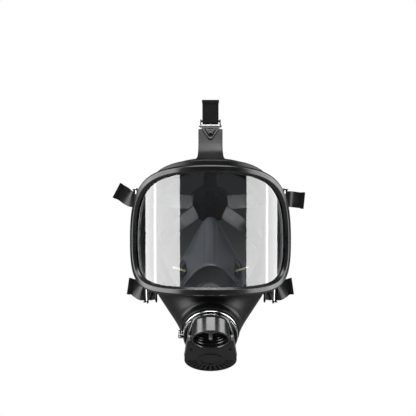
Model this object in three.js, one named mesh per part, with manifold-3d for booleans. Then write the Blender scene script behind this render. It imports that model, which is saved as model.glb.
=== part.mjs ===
// Full face respirator, in millimetres. The origin lies between the wearer's eyes in the middle of the
// head. +Z is up, the mask faces -Y, and +X is the wearer's left.
import * as THREE from "three";
import { ConvexGeometry } from "three/addons/geometries/ConvexGeometry.js";
import { mergeVertices } from "three/addons/utils/BufferGeometryUtils.js";
import Module from "manifold-3d";

const wasm = await Module();
wasm.setup();

const GAP = 0.3;                 // clearance between two pieces that touch
const ROUND = 24;                // sides of a large round piece
const SMALL_ROUND = 8;           // sides of a screw, pin or rivet

// Visor: a plate bent about a vertical axis.
const VISOR_RADIUS = 105;
const VISOR_AXIS_Y = -30;
const VISOR_THICKNESS = 3;

// Visor frame outline, seen from the front: two curves on each side that meet at the frame's joint.
const FRAME_TOP = 64.6;
const FRAME_BOTTOM = -89.8;
const FRAME_HALF_WIDTH = 95;
const FRAME_JOINT_Z = -31;
const FRAME_TOP_REACH = 78;
const FRAME_SHOULDER_Z = 45;
const FRAME_JAW_Z = -98;
const FRAME_BOTTOM_REACH = 80;
const FRAME_LIP = 10;            // how far the frame reaches over the visor
const FRAME_LEG = 3.6;           // thickness of the rim round the visor's edge
const FRAME_BACK = -9;           // back edge of the rim, from the visor's outer face
const FRAME_PROUD = 5.6;         // how far the frame stands out of the visor
const OUTLINE_STEPS = 9;         // steps in each quarter of an outline

// Facepiece.
const RUBBER = 3;                // wall thickness
const RIM_FLARE = 4.5;           // how far the rubber stands out beyond the frame at the forehead
const SEAL_OUTER = {
  top: [0, -97, 72], topHandle: [52, -95, 73], sideHandle: [80, -34, 48], side: [80, -32, -5],
  jawHandle: [80, -30, -75], bottomHandle: [46, -44, -128], bottom: [0, -48, -128],
};
const SEAL_INNER = {
  top: [0, -100, 55], topHandle: [42, -99, 55], sideHandle: [66, -50, 38], side: [66, -48, -5],
  jawHandle: [66, -46, -68], bottomHandle: [36, -62, -112], bottom: [0, -66, -112],
};

// Port neck: a ring below the chin, its axis pointing forwards and down.
const NECK_CENTRE = [0, -113.6, -136.4];
const NECK_TILT = 28;
const NECK_RADIUS = 31.3;
const COLLAR_RADIUS = 35;
const NECK_LENGTH = 10.4;
const BAND_RADIUS = 32.9;
const BAND_START = 1;
const BAND_END = 9;

// Outlet: filter connector and exhalation valve side by side on one slanted face. Its centre is the
// middle of the connector's rim, local +Z points out of the connector and local -Y to the valve.
const OUTLET_CENTRE = [0, -172, -136.2];
const OUTLET_TILT = 53;
const CONNECTOR_RADIUS = 22.5;
const CONNECTOR_BORE = 20;
const CONNECTOR_DEPTH = 18;
const TONGUE_HALF_WIDTH = 26;
const GRILLE_RADIUS = 31;
const GRILLE_OFFSET = 50;        // from the connector's axis to the valve's axis
const COVER_THICKNESS = 2.3;
const COVER_SLOTS = 12;
const BOSS_RADIUS = 14.5;
const COVER_SCREW = { x: 22.8, y: -25, head: 2.2, shank: 1.1 };
const TONGUE_BACK = -7.5;
const VALVE = { offset: 48, chamber: 19.5, floor: -10.5, disc: 15.5 };   // exhalation valve

// Nose cup.
const CUP_WALL = 2.2;
const CUP_TOP = 1;
const CUP_FLOOR = -97;
const CUP_PANEL_Y = -108;        // recessed panel below the arch
const CUP_PORT = { z: -94, outer: 19, inner: 16, length: 6 };
const CHEEK_VALVE = {
  x: 31, y: -103, z: -64, seat: 11.5, disc: 9.5, pin: 1.1, pinLength: 16,
  lift: 18, turn: 24,            // degrees that the pin points above level, and forwards of sideways
};

// Buckles and straps. Each buckle's frame has its pin at the origin, local Y runs along the tab from
// the mask to the pin, local X runs across the strap and local Z points away from the head. A tail is
// [y, z] points in that frame. Rise is how far its end drifts upwards, and curl how much that levels off.
const STRAP_WIDTH = 20;
const STRAP_THICKNESS = 1.8;
const TAB_THICKNESS = 3;
const PIN_RADIUS = 1.2;
const PIN_LENGTH = 28.4;
const KNUCKLE_WALL = 0.7;
const BAR_RADIUS = 1.4;
const BAR_OFFSET = 5.8;          // from the hinge pin to the lever's strap bar
const BAR_HEIGHT = 0.4;
const BUCKLE_HALF = 11;          // half the width of the buckle's plate
const RIVET = { y: -10.5, hole: 1.9, shank: 1.6, head: 2.9 };
const BUCKLES = [
  {
    name: "top", pin: [0, -74, 111.5], run: [0, 0.45, 0.89], out: [0, -0.89, 0.45],
    tab: 30, foot: [0, -104, 66], tail: [[6, 4.9], [12, 8], [19, 11.5], [26.6, 15.3]], rise: 0, curl: 0,
  },
  {
    name: "temple_left", pin: [93, -46, 20], run: [0.45, 0.88, 0], out: [0.88, -0.45, 0],
    tab: 24, foot: [80, -74, 20], tail: [[5, 4.8], [8.5, 8], [11.5, 12.5], [14.5, 20.5]], rise: -2, curl: 0.5,
  },
  { name: "temple_right", mirror: "temple_left", rise: 11 },
  {
    name: "cheek_left", pin: [80, -50, -97], run: [0.43, 0.86, -0.2], out: [0.9, -0.42, 0.05],
    tab: 22, foot: [67, -77, -88], tail: [[5, 4.8], [8.5, 8], [11.5, 12], [14, 19]], rise: 9, curl: 1.4,
  },
  { name: "cheek_right", mirror: "cheek_left" },
];

// Head harness: a pad behind the head and five straps moulded to it.
const PAD = { y: 100, z: 8, halfWidth: 32, halfHeight: 26, radius: 92, thickness: 3 };
const HARNESS_ROUTES = {
  top: [[0, -52, 120], [0, -24, 124.5], [0, 8, 124], [0, 42, 114], [0, 70, 92], [0, 90, 58], [0, 99, 24]],
  temple: [[95, -22, 20], [90, 6, 19], [74, 44, 16], [50, 76, 12], [22, 95, 9]],
  cheek: [[84, -24, -94], [80, 6, -74], [69, 42, -46], [46, 76, -22], [20, 94, -4]],
};

const rad = THREE.MathUtils.degToRad;
const vec = (x, y, z) => new THREE.Vector3(x, y, z);

// ---- Geometry helpers ----

function tidy(geometry) {
  // Shared vertices merged, slivers without area dropped, faces pointing out.
  geometry.deleteAttribute("normal");
  geometry.deleteAttribute("uv");
  const merged = mergeVertices(geometry, 1e-4);
  const index = [];
  const old = merged.index.array;
  for (let i = 0; i < old.length; i += 3) {
    const [a, b, c] = [old[i], old[i + 1], old[i + 2]];
    if (a !== b && b !== c && c !== a) index.push(a, b, c);
  }
  merged.setIndex(index);
  if (volume(merged) < 0) merged.setIndex(index.reverse());
  return merged;
}

function volume(geometry) {
  const place = geometry.attributes.position;
  const index = geometry.index.array;
  const corners = [vec(), vec(), vec()];
  let total = 0;
  for (let i = 0; i < index.length; i += 3) {
    corners.forEach((corner, k) => corner.fromBufferAttribute(place, index[i + k]));
    total += corners[0].dot(corners[1].cross(corners[2])) / 6;
  }
  return total;
}

function loft(rings, looped = false) {
  // A closed body through rings with the same number of points; its ends close on their middles.
  const count = rings[0].length;
  const points = rings.flat().map((p) => p.toArray()).flat();
  const index = [];
  const spans = looped ? rings.length : rings.length - 1;
  for (let r = 0; r < spans; r++) {
    const next = (r + 1) % rings.length;
    for (let i = 0; i < count; i++) {
      const j = (i + 1) % count;
      const [a, b, c, d] = [r * count + i, r * count + j, next * count + j, next * count + i];
      index.push(a, b, c, a, c, d);
    }
  }
  if (!looped) {
    for (const [ring, flip] of [[0, true], [rings.length - 1, false]]) {
      const middle = rings[ring].reduce((sum, p) => sum.add(p), vec(0, 0, 0)).divideScalar(count);
      const centre = points.length / 3;
      points.push(...middle.toArray());
      for (let i = 0; i < count; i++) {
        const [a, b] = [ring * count + i, ring * count + ((i + 1) % count)];
        index.push(...(flip ? [a, centre, b] : [b, centre, a]));
      }
    }
  }
  const geometry = new THREE.BufferGeometry();
  geometry.setAttribute("position", new THREE.Float32BufferAttribute(points, 3));
  geometry.setIndex(index);
  return tidy(geometry);
}

function solid(geometry) {
  const clean = tidy(geometry.clone());
  const mesh = new wasm.Mesh({
    numProp: 3,
    vertProperties: new Float32Array(clean.attributes.position.array),
    triVerts: new Uint32Array(clean.index.array),
  });
  return new wasm.Manifold(mesh);
}

function geometryOf(manifold) {
  const mesh = manifold.getMesh();
  const geometry = new THREE.BufferGeometry();
  geometry.setAttribute("position", new THREE.Float32BufferAttribute(mesh.vertProperties, 3));
  geometry.setIndex([...mesh.triVerts]);
  return geometry;
}

function cut(body, ...tools) {
  return geometryOf(tools.reduce((rest, tool) => rest.subtract(solid(tool)), solid(body)));
}

function join(first, ...others) {
  return geometryOf(others.reduce((whole, part) => whole.add(solid(part)), solid(first)));
}

function turned(profile, sides = ROUND) {
  // A profile of [radius, height] points turned about +Z.
  const outline = profile.map(([radius, height]) => new THREE.Vector2(radius, height));
  return new THREE.LatheGeometry(outline, sides).rotateX(Math.PI / 2);
}

function disc(radius, low, high, sides = ROUND) {
  return turned([[0, low], [radius, low], [radius, high], [0, high]], sides);
}

function ring(inner, outer, low, high, sides = ROUND) {
  return turned([[inner, low], [outer, low], [outer, high], [inner, high], [inner, low]], sides);
}

function box(width, depth, height, x = 0, y = 0, z = 0) {
  return new THREE.BoxGeometry(width, depth, height).translate(x, y, z);
}

function plate(points, low, high) {
  // A flat outline of [x, y] points, thickened from low to high.
  const shape = new THREE.Shape(points.map(([x, y]) => new THREE.Vector2(x, y)));
  return new THREE.ExtrudeGeometry(shape, { depth: high - low, bevelEnabled: false }).translate(0, 0, low);
}

function arc(centreX, centreY, radius, from, to, steps) {
  return Array.from({ length: steps + 1 }, (_, i) => {
    const angle = rad(from + ((to - from) * i) / steps);
    return [centreX + radius * Math.cos(angle), centreY + radius * Math.sin(angle)];
  });
}

function ribbon(points, acrosses, width, thickness) {
  // A strap along points; acrosses give its width direction at each point.
  const rings = points.map((point, i) => {
    const ahead = points[Math.min(i + 1, points.length - 1)];
    const behind = points[Math.max(i - 1, 0)];
    const along = ahead.clone().sub(behind).normalize();
    const up = acrosses[i].clone().cross(along).normalize();
    const across = along.clone().cross(up);
    return [[-1, -1], [1, -1], [1, 1], [-1, 1]].map(([s, t]) =>
      point.clone().addScaledVector(across, (s * width) / 2).addScaledVector(up, (t * thickness) / 2));
  });
  return loft(rings);
}

const root = new THREE.Group();

function frameGroup(centre, tilt) {
  // A group whose local +Z points forwards and down by the tilt.
  const group = new THREE.Group();
  group.position.set(...centre);
  group.rotation.x = rad(90 + tilt);
  group.updateMatrixWorld(true);
  root.add(group);
  return group;
}

const placed = (geometry, group) => geometry.clone().applyMatrix4(group.matrixWorld);
const local = (geometry, group) => geometry.clone().applyMatrix4(group.matrixWorld.clone().invert());

const FINISHES = {
  rubber: { color: 0x17181a, roughness: 0.55, metalness: 0 },
  cupRubber: { color: 0x4a4c50, roughness: 0.5, metalness: 0 },
  strapRubber: { color: 0x26272a, roughness: 0.6, metalness: 0 },
  matteBlack: { color: 0x1b1c1e, roughness: 0.45, metalness: 0 },
  glossBlack: { color: 0x141517, roughness: 0.2, metalness: 0 },
  polished: { color: 0xc8cacc, roughness: 0.2, metalness: 1 },
  brass: { color: 0xd8cc98, roughness: 0.35, metalness: 1 },
  clear: { color: 0xe8eef0, roughness: 0.05, metalness: 0, transparent: true, opacity: 0.25 },
  siliconeGrey: { color: 0x8d8f92, roughness: 0.5, metalness: 0 },
};

function piece(name, geometry, finish, group = root) {
  const mesh = new THREE.Mesh(tidy(geometry), new THREE.MeshStandardMaterial(FINISHES[finish]));
  mesh.name = name;
  group.add(mesh);
  return mesh;
}

// ---- Outlines ----

function quarters(upper, lower, steps) {
  // A closed outline from the top centre down the wearer's left side and up the right one.
  const half = [...upper.getPoints(steps), ...lower.getPoints(steps).slice(1)];
  const other = half.slice(1, -1).reverse().map((p) => vec(-p.x, p.y, p.z));
  return [...half, ...other];
}

function frameOutline() {
  const curve = (...points) => new THREE.CubicBezierCurve3(...points.map(([x, z]) => vec(x, 0, z)));
  const joint = [FRAME_HALF_WIDTH, FRAME_JOINT_Z];
  const shoulder = [FRAME_HALF_WIDTH, FRAME_SHOULDER_Z];
  const jaw = [FRAME_HALF_WIDTH, FRAME_JAW_Z];
  const upper = curve([0, FRAME_TOP], [FRAME_TOP_REACH, FRAME_TOP], shoulder, joint);
  const lower = curve(joint, jaw, [FRAME_BOTTOM_REACH, FRAME_BOTTOM], [0, FRAME_BOTTOM]);
  const flat = quarters(upper, lower, OUTLINE_STEPS).map((p) => ({
    u: VISOR_RADIUS * Math.asin(p.x / VISOR_RADIUS),
    z: p.z,
  }));
  return flat.map((p, i) => {
    const ahead = flat[(i + 1) % flat.length];
    const behind = flat[(i + flat.length - 1) % flat.length];
    const run = new THREE.Vector2(ahead.u - behind.u, ahead.z - behind.z).normalize();
    return { ...p, nu: -run.y, nz: run.x };
  });
}

const OUTLINE = frameOutline();

function bent(p, inset, proud) {
  // The point inset from the frame's edge and proud of the visor's outer face.
  const angle = (p.u - inset * p.nu) / VISOR_RADIUS;
  const radius = VISOR_RADIUS + proud;
  return vec(radius * Math.sin(angle), VISOR_AXIS_Y - radius * Math.cos(angle), p.z - inset * p.nz);
}

function sealRing(seal) {
  const at = (key) => vec(...seal[key]);
  const upper = new THREE.CubicBezierCurve3(at("top"), at("topHandle"), at("sideHandle"), at("side"));
  const lower = new THREE.CubicBezierCurve3(at("side"), at("jawHandle"), at("bottomHandle"), at("bottom"));
  return quarters(upper, lower, OUTLINE_STEPS);
}

// ---- Visor and its frame ----

function visor() {
  const columns = 26;
  const inset = FRAME_LEG + 0.9;
  const sideShare = 0.985;       // the visor's straight side edges, just inside its outline
  const edge = OUTLINE.map((p) => bent(p, inset, 0));
  const half = OUTLINE.length / 2;
  const angleOf = (p) => Math.atan2(p.x, VISOR_AXIS_Y - p.y);
  const heightAt = (angle, side) => {
    const run = side.filter((p) => p.x >= -1e-6);
    const k = Math.max(1, run.findIndex((p) => angleOf(p) >= Math.abs(angle)));
    const [a, b] = [run[k - 1], run[k]];
    const share = (Math.abs(angle) - angleOf(a)) / (angleOf(b) - angleOf(a));
    return a.z + share * (b.z - a.z);
  };
  const widest = Math.max(...edge.map(angleOf)) * sideShare;
  const upper = edge.slice(0, OUTLINE_STEPS + 1);
  const lower = edge.slice(OUTLINE_STEPS, half + 1).reverse();
  const rings = Array.from({ length: columns + 1 }, (_, i) => {
    const angle = widest * ((2 * i) / columns - 1);
    const [high, low] = [heightAt(angle, upper), heightAt(angle, lower)];
    return [[0, high], [0, low], [-VISOR_THICKNESS, low], [-VISOR_THICKNESS, high]].map(([proud, z]) => {
      const radius = VISOR_RADIUS + proud;
      return vec(radius * Math.sin(angle), VISOR_AXIS_Y - radius * Math.cos(angle), z);
    });
  });
  piece("visor", loft(rings), "clear");
}

const FRAME_SECTION = [
  [0, FRAME_BACK], [FRAME_LEG, FRAME_BACK], [FRAME_LEG, 0.9], [FRAME_LIP, 0.9], [FRAME_LIP, 1.8],
  [7.6, FRAME_PROUD - 0.4], [2, FRAME_PROUD], [0, FRAME_PROUD - 2],
];
const LUG = { inset: -2.6, proud: -1.5, width: 7, depth: 8, height: 7 };
const FRAME_SCREW = { head: 2.6, shank: 1.3, hole: 1.6 };

function lugPlace(geometry, side) {
  // Moves a piece from the screw's own axis to the frame's joint on one side.
  const edge = OUTLINE[side > 0 ? OUTLINE_STEPS : OUTLINE.length - OUTLINE_STEPS];
  const place = bent(edge, LUG.inset, LUG.proud);
  return geometry.rotateZ(edge.u / VISOR_RADIUS).translate(place.x, place.y, 0);
}

function frameHalf(name, first, count, lift) {
  const rings = Array.from({ length: count }, (_, k) => {
    const p = OUTLINE[(first + k) % OUTLINE.length];
    const atEnd = k === 0 || k === count - 1;
    return FRAME_SECTION.map(([inset, proud]) => {
      const point = bent(p, inset, proud);
      if (atEnd) point.z += lift * GAP;
      return point;
    });
  });
  let body = loft(rings);
  for (const side of [1, -1]) {
    const middle = FRAME_JOINT_Z + lift * (GAP + LUG.height / 2);
    const lug = lugPlace(box(LUG.width, LUG.depth, LUG.height), side).translate(0, 0, middle);
    const hole = lugPlace(disc(FRAME_SCREW.hole, -20, 20, SMALL_ROUND), side).translate(0, 0, middle);
    body = cut(join(body, lug), hole);
  }
  piece(name, body, "matteBlack");
}

function frameScrews() {
  const reach = LUG.height + GAP;
  for (const [side, word] of [[1, "left"], [-1, "right"]]) {
    const head = reach + GAP;
    const profile = [
      [0, -reach - 3], [FRAME_SCREW.shank, -reach - 3], [FRAME_SCREW.shank, head],
      [FRAME_SCREW.head, head], [FRAME_SCREW.head, head + 1.4], [1.8, head + 2.2], [0, head + 2.2],
    ];
    const screw = lugPlace(turned(profile, SMALL_ROUND), side).translate(0, 0, FRAME_JOINT_Z);
    const nut = lugPlace(ring(FRAME_SCREW.hole, 3, -2.2, 0, 6), side).translate(0, 0, FRAME_JOINT_Z - head);
    piece(`frame_screw_${word}`, screw, "polished");
    piece(`frame_nut_${word}`, nut, "polished");
  }
}

// ---- Port groups ----

const neck = frameGroup(NECK_CENTRE, NECK_TILT);
const outlet = frameGroup(OUTLET_CENTRE, OUTLET_TILT);

// ---- Facepiece ----

const rimFlare = (p) => -0.5 - RIM_FLARE * Math.max(0, p.nz);

function inward(points, amount, forward) {
  // Points moved towards the middle of the face, and forwards.
  return points.map((p) => {
    const run = new THREE.Vector2(p.x, p.z + 10).normalize();
    return vec(p.x - run.x * amount, p.y - forward, p.z - run.y * amount);
  });
}

function chinRings(inset) {
  // Rings from inside the mask down to the port collar: centre, half width, half depth and slope.
  const stations = [
    { y: -80, z: -68, width: 76, depth: 37, slope: 74 },
    { y: -84, z: -92, width: 66, depth: 36, slope: 72 },
    { y: -90, z: -111, width: 53, depth: 34, slope: 58 },
    { y: -99, z: -124, width: 42, depth: 34, slope: 42 },
    { y: -106.5, z: -132.6, width: 36, depth: 35.5, slope: NECK_TILT },
    { y: NECK_CENTRE[1], z: NECK_CENTRE[2], width: COLLAR_RADIUS, depth: COLLAR_RADIUS, slope: NECK_TILT },
  ];
  return stations.map((s) => Array.from({ length: ROUND }, (_, i) => {
    const angle = (2 * Math.PI * i) / ROUND;
    const across = (s.width - inset) * Math.sin(angle);
    const deep = (s.depth - inset) * Math.cos(angle);
    return vec(across, s.y - deep * Math.sin(rad(s.slope)), s.z + deep * Math.cos(rad(s.slope)));
  }));
}

function facepiece(tabs) {
  // A ring round the frame's outline; its inset is a number or a function of the outline's point.
  const at = (inset, proud) =>
    OUTLINE.map((p) => bent(p, typeof inset === "number" ? inset : inset(p), proud));
  const flange = (p) => FRAME_LIP + 5 * Math.max(0, p.nz);
  const sealOuter = sealRing(SEAL_OUTER);
  const sealInner = sealRing(SEAL_INNER);
  const outside = loft([
    at(FRAME_LEG + 0.5, -VISOR_THICKNESS - 0.5), at(FRAME_LEG + 0.5, FRAME_BACK - 0.6),
    at(rimFlare, FRAME_BACK - 1.2), at((p) => rimFlare(p) - 0.8, FRAME_BACK - 5), sealOuter, sealInner,
  ]);
  const inside = loft([
    at(flange, 15), at(flange, -6.4), at(7.3, -6.8), at(7.3, FRAME_BACK - 1.6),
    at((p) => rimFlare(p) + RUBBER, FRAME_BACK - 5),
    inward(sealOuter, RUBBER, 4), inward(sealInner, 0.5, 3), inward(sealInner, 0.5, -45),
  ]);
  const neckTube = placed(disc(NECK_RADIUS, -6, NECK_LENGTH), neck);
  const neckLip = placed(disc(NECK_RADIUS + 0.9, BAND_END + GAP, NECK_LENGTH), neck);
  const bore = placed(disc(NECK_RADIUS - RUBBER, -14, NECK_LENGTH + 5), neck);
  const frameSpace = loft(OUTLINE.map((p) => [
    [-0.4, FRAME_BACK - 0.4], [FRAME_LEG + 0.4, FRAME_BACK - 0.4], [FRAME_LEG + 0.4, -VISOR_THICKNESS - 0.4],
    [40, -VISOR_THICKNESS - 0.4], [40, 12], [-0.4, 12],
  ].map(([inset, proud]) => bent(p, inset, proud))), true);
  const chin = cut(join(loft(chinRings(0)), neckTube, neckLip), frameSpace);
  const shell = join(outside, chin, ...tabs);
  return cut(shell, inside, loft(chinRings(RUBBER)), bore);
}

// ---- Buckles, straps and harness ----

function buckleSpec(entry) {
  if (!entry.mirror) return entry;
  const twin = BUCKLES.find((other) => other.name === entry.mirror);
  const flip = ([x, y, z]) => [-x, y, z];
  const places = Object.fromEntries(["pin", "run", "out", "foot"].map((key) => [key, flip(twin[key])]));
  return { ...twin, ...entry, ...places };
}

function buckleGroup(spec) {
  const run = vec(...spec.run).normalize();
  const across = run.clone().cross(vec(...spec.out)).normalize();
  const out = across.clone().cross(run);
  const group = new THREE.Group();
  group.position.set(...spec.pin);
  group.quaternion.setFromRotationMatrix(new THREE.Matrix4().makeBasis(across, run, out));
  group.updateMatrixWorld(true);
  root.add(group);
  return group;
}

function tabBody(spec, group) {
  // The rubber tab from the mask's side to just short of the pin.
  const foot = local(pointGeometry(spec.foot), group);
  const start = vec().fromBufferAttribute(foot.attributes.position, 0);
  const flat = -TAB_THICKNESS / 2 - 1.2;
  const stations = [
    [start.y, start.z, spec.tab + 10], [start.y * 0.84, start.z * 0.6 + flat * 0.4, spec.tab + 3],
    [start.y * 0.6, flat, spec.tab], [-3.5, flat, spec.tab],
  ];
  const rings = stations.map(([y, z, width]) => [[-1, -1], [1, -1], [1, 1], [-1, 1]].map(([s, t]) =>
    vec((s * width) / 2, y, z + (t * TAB_THICKNESS) / 2)));
  return placed(loft(rings), group);
}

function pointGeometry(point) {
  const geometry = new THREE.BufferGeometry();
  geometry.setAttribute("position", new THREE.Float32BufferAttribute(point, 3));
  return geometry;
}

const rivetHole = () => disc(RIVET.hole, -10, 10, SMALL_ROUND).translate(0, RIVET.y, 0);
const alongX = (geometry) => geometry.rotateY(Math.PI / 2);

function buckle(spec, group) {
  const half = BUCKLE_HALF;
  const hole = PIN_RADIUS + GAP;
  const outline = [[-half, 0.4], [-half, -4], ...arc(0, -15, 3.2, 200, 340, 6), [half, -4], [half, 0.4]];
  const knuckle = alongX(disc(hole + KNUCKLE_WALL, -half + 0.5, half - 0.5, SMALL_ROUND));
  const triangle = cut(join(plate(outline, -0.9, 0.9), knuckle),
    alongX(disc(hole, -30, 30, SMALL_ROUND)), rivetHole());
  piece(`buckle_plate_${spec.name}`, triangle, "matteBlack", group);

  const { shank, head } = RIVET;
  const rivet = turned([
    [0, 0], [shank, 0], [shank, 2.3], [head, 2.3], [head - 0.3, 3.3], [1.4, 3.9], [0, 3.9],
  ], SMALL_ROUND);
  piece(`buckle_rivet_${spec.name}`, rivet.translate(0, RIVET.y, -1.1), "matteBlack", group);

  const end = PIN_LENGTH / 2;
  const pin = turned([
    [0, -end], [1.9, -end], [1.9, 1 - end], [PIN_RADIUS, 1 - end],
    [PIN_RADIUS, end - 1], [1.9, end - 1], [1.9, end], [0, end],
  ], SMALL_ROUND);
  piece(`buckle_pin_${spec.name}`, alongX(pin), "polished", group);

  const cheekX = half + GAP + 0.3;
  const cheekPlate = (side) =>
    box(1.4, BAR_OFFSET + 4.4, 3.8, side * (cheekX + 0.35), BAR_OFFSET / 2 - 0.2, 0.2);
  const bar = alongX(disc(BAR_RADIUS, -cheekX - 0.5, cheekX + 0.5, SMALL_ROUND));
  const lever = cut(join(cheekPlate(1), bar.translate(0, BAR_OFFSET, BAR_HEIGHT), cheekPlate(-1)),
    alongX(disc(hole, -30, 30, SMALL_ROUND)));
  piece(`buckle_lever_${spec.name}`, lever, "matteBlack", group);

}

function strapTail(spec, group) {
  // The strap's free end, from the lever's bar outwards, with a thicker hem.
  const across = vec(1, 0, 0);
  const upwards = Math.sign(across.clone().transformDirection(group.matrixWorld).z) || 1;
  const driftStart = 6;
  const reach = spec.tail.at(-1)[1];
  const drift = (z) => {
    const share = Math.max(0, z - driftStart) / (reach - driftStart);
    return upwards * spec.rise * share * (1 + spec.curl * (1 - share));
  };
  const route = [[BAR_OFFSET - 1.4, 3.8], ...spec.tail].map(([y, z]) => vec(drift(z), y, z));
  const tail = ribbon(route, route.map(() => across), STRAP_WIDTH, STRAP_THICKNESS);
  const end = route.at(-1).clone();
  const ahead = end.clone().sub(route.at(-2)).normalize();
  const hemRoute = [-3.6, 0.6].map((step) => end.clone().addScaledVector(ahead, step));
  const hem = ribbon(hemRoute, [across, across], STRAP_WIDTH + 1, STRAP_THICKNESS + 1.4);
  piece(`strap_tail_${spec.name}`, join(tail, hem), "strapRubber", group);
}

function strapRoute(spec, group) {
  // From under the lever's bar, round the head to the pad.
  const kind = spec.name.split("_")[0];
  const flip = spec.name.endsWith("right") ? -1 : 1;
  const start = [vec(0, BAR_OFFSET - 2.6, -3.3), vec(0, BAR_OFFSET + 4, -3.4)]
    .map((point) => point.applyMatrix4(group.matrixWorld));
  const rest = HARNESS_ROUTES[kind].map(([x, y, z]) => vec(flip * x, y, z));
  const curve = new THREE.CatmullRomCurve3([...start, ...rest], false, "centripetal");
  const points = curve.getPoints(18);
  const turnSteps = 8;           // steps in which the strap turns flat against the head
  const first = vec(1, 0, 0).transformDirection(group.matrixWorld);
  const last = kind === "top" ? vec(1, 0, 0) : vec(0, 0, first.z > 0 ? 1 : -1);
  const acrosses = points.map((_, i) => first.clone().lerp(last, Math.min(1, i / turnSteps)));
  return ribbon(points, acrosses, STRAP_WIDTH - 0.6, STRAP_THICKNESS);
}

function padBody() {
  // An oval plate bent round the back of the head, a little smaller on its outer side.
  const sides = 20;
  const rings = [1, 0.985].map((share, layer) => Array.from({ length: sides }, (_, i) => {
    const angle = (2 * Math.PI * i) / sides;
    const turn = (PAD.halfWidth * share * Math.cos(angle)) / PAD.radius;
    const radius = PAD.radius + layer * PAD.thickness;
    const y = PAD.y - PAD.radius - PAD.thickness + radius * Math.cos(turn);
    return vec(radius * Math.sin(turn), y, PAD.z + PAD.halfHeight * share * Math.sin(angle));
  }));
  return loft(rings);
}

// ---- Nose cup and its cheek valves ----

const cupHalfWidth = (z) => (z > -6 ? 3.5 + 1.05 * (CUP_TOP - z) : Math.min(39, 6.8 + 0.56 * -z));
const cupFront = (z) => -108 - 0.33 * Math.min(-z, 58) + 0.25 * Math.max(0, -z - 70);
const cupBack = (z) => Math.min(-78, -104 + 0.4 * -z);

function cupSections(inset, top, bottom, backReach) {
  const levels = 8;
  const steps = 12;
  return Array.from({ length: levels + 1 }, (_, k) => {
    const z = top + ((bottom - top) * k) / levels;
    const width = cupHalfWidth(z) - inset;
    const [front, back] = [cupFront(z) + inset, cupBack(z)];
    const curve = Array.from({ length: steps + 1 }, (_, i) => {
      const angle = rad(-90 + (180 * i) / steps);
      return vec(width * Math.sin(angle), back + (front - back) * Math.cos(angle) ** 0.85, z);
    });
    return [...curve, vec(width, back + backReach, z), vec(-width, back + backReach, z)];
  });
}

function archShape(grow) {
  // The arch over the nose cup's recessed panel: a parabola closed below.
  const reach = 34 + grow;
  const curve = Array.from({ length: 13 }, (_, i) => {
    const x = reach * (i / 6 - 1);
    return [x, -55.3 + grow - (30 * x * x) / (34 * 34)];
  });
  return [...curve, [reach, -120], [-reach, -120]];
}

function cheekValveGroup(side) {
  // Local +Z is the pin's direction, outwards, forwards and up.
  const group = new THREE.Group();
  const out = vec(
    side * Math.cos(rad(CHEEK_VALVE.lift)) * Math.cos(rad(CHEEK_VALVE.turn)),
    -Math.cos(rad(CHEEK_VALVE.lift)) * Math.sin(rad(CHEEK_VALVE.turn)),
    Math.sin(rad(CHEEK_VALVE.lift)),
  );
  group.position.set(side * CHEEK_VALVE.x, CHEEK_VALVE.y, CHEEK_VALVE.z);
  group.quaternion.setFromUnitVectors(vec(0, 0, 1), out);
  group.updateMatrixWorld(true);
  root.add(group);
  return group;
}

function noseCup() {
  const cheeks = [[1, "left"], [-1, "right"]].map(([side, word]) => ({ word, group: cheekValveGroup(side) }));
  const towardsFront = (shape, from, to) =>
    plate(shape, 0, to - from).rotateX(Math.PI / 2).translate(0, to, 0);
  const outside = loft(cupSections(0, CUP_TOP, CUP_FLOOR, 0.5));
  const arch = towardsFront(archShape(0), -170, CUP_PANEL_Y);
  const archCore = towardsFront(archShape(CUP_WALL), -170, CUP_PANEL_Y + CUP_WALL);
  const inside = solid(loft(cupSections(CUP_WALL, CUP_TOP - 3.5, CUP_FLOOR + CUP_WALL, 30)))
    .subtract(solid(archCore));
  const collarPlace = (geometry) =>
    geometry.rotateX(rad(90)).translate(0, CUP_PANEL_Y + CUP_WALL, CUP_PORT.z);
  const collar = collarPlace(disc(CUP_PORT.outer, 0, CUP_PORT.length));
  const collarBore = collarPlace(disc(CUP_PORT.inner, -30, CUP_PORT.length + 5));
  const bosses = cheeks.map(({ group }) => placed(disc(CHEEK_VALVE.seat + 2.5, -8, 0.6), group));
  const pockets = cheeks.map(({ group }) => placed(disc(CHEEK_VALVE.seat + GAP, -5.7, 20), group));
  const pinHoles = cheeks.map(({ group }) => placed(disc(2.7, -12, 0), group));
  const shell = solid(outside).subtract(solid(arch)).add(solid(collar))
    .add(solid(bosses[0])).add(solid(bosses[1]))
    .subtract(inside).subtract(solid(collarBore))
    .subtract(solid(pockets[0])).subtract(solid(pockets[1]))
    .subtract(solid(pinHoles[0])).subtract(solid(pinHoles[1]));
  const largest = shell.decompose().sort((a, b) => b.volume() - a.volume())[0];
  piece("nose_cup", geometryOf(largest), "cupRubber");
  for (const { word, group } of cheeks) cheekValve(word, group);
}

function cheekValve(word, group) {
  const { seat, disc: flap, pin, pinLength } = CHEEK_VALVE;
  const seatBody = cut(join(ring(seat - 2.6, seat, -2.2, 0), box(2 * seat - 3, 1.6, 1.6, 0, 0, -1.2),
    disc(3, -2, -0.4, SMALL_ROUND)), disc(pin + GAP, -5, 5, SMALL_ROUND));
  piece(`cheek_valve_seat_${word}`, seatBody, "matteBlack", group);
  piece(`cheek_valve_disc_${word}`, ring(pin + GAP, flap, -3.4, -2.6), "siliconeGrey", group);
  const profile = [
    [0, -7], [2.2, -7], [2.2, -6.2], [pin, -6.2], [pin, pinLength - 1], [0.6, pinLength], [0, pinLength],
  ];
  piece(`cheek_valve_pin_${word}`, turned(profile, SMALL_ROUND), "brass", group);
}

// ---- Port housing, connector and valves ----

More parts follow.
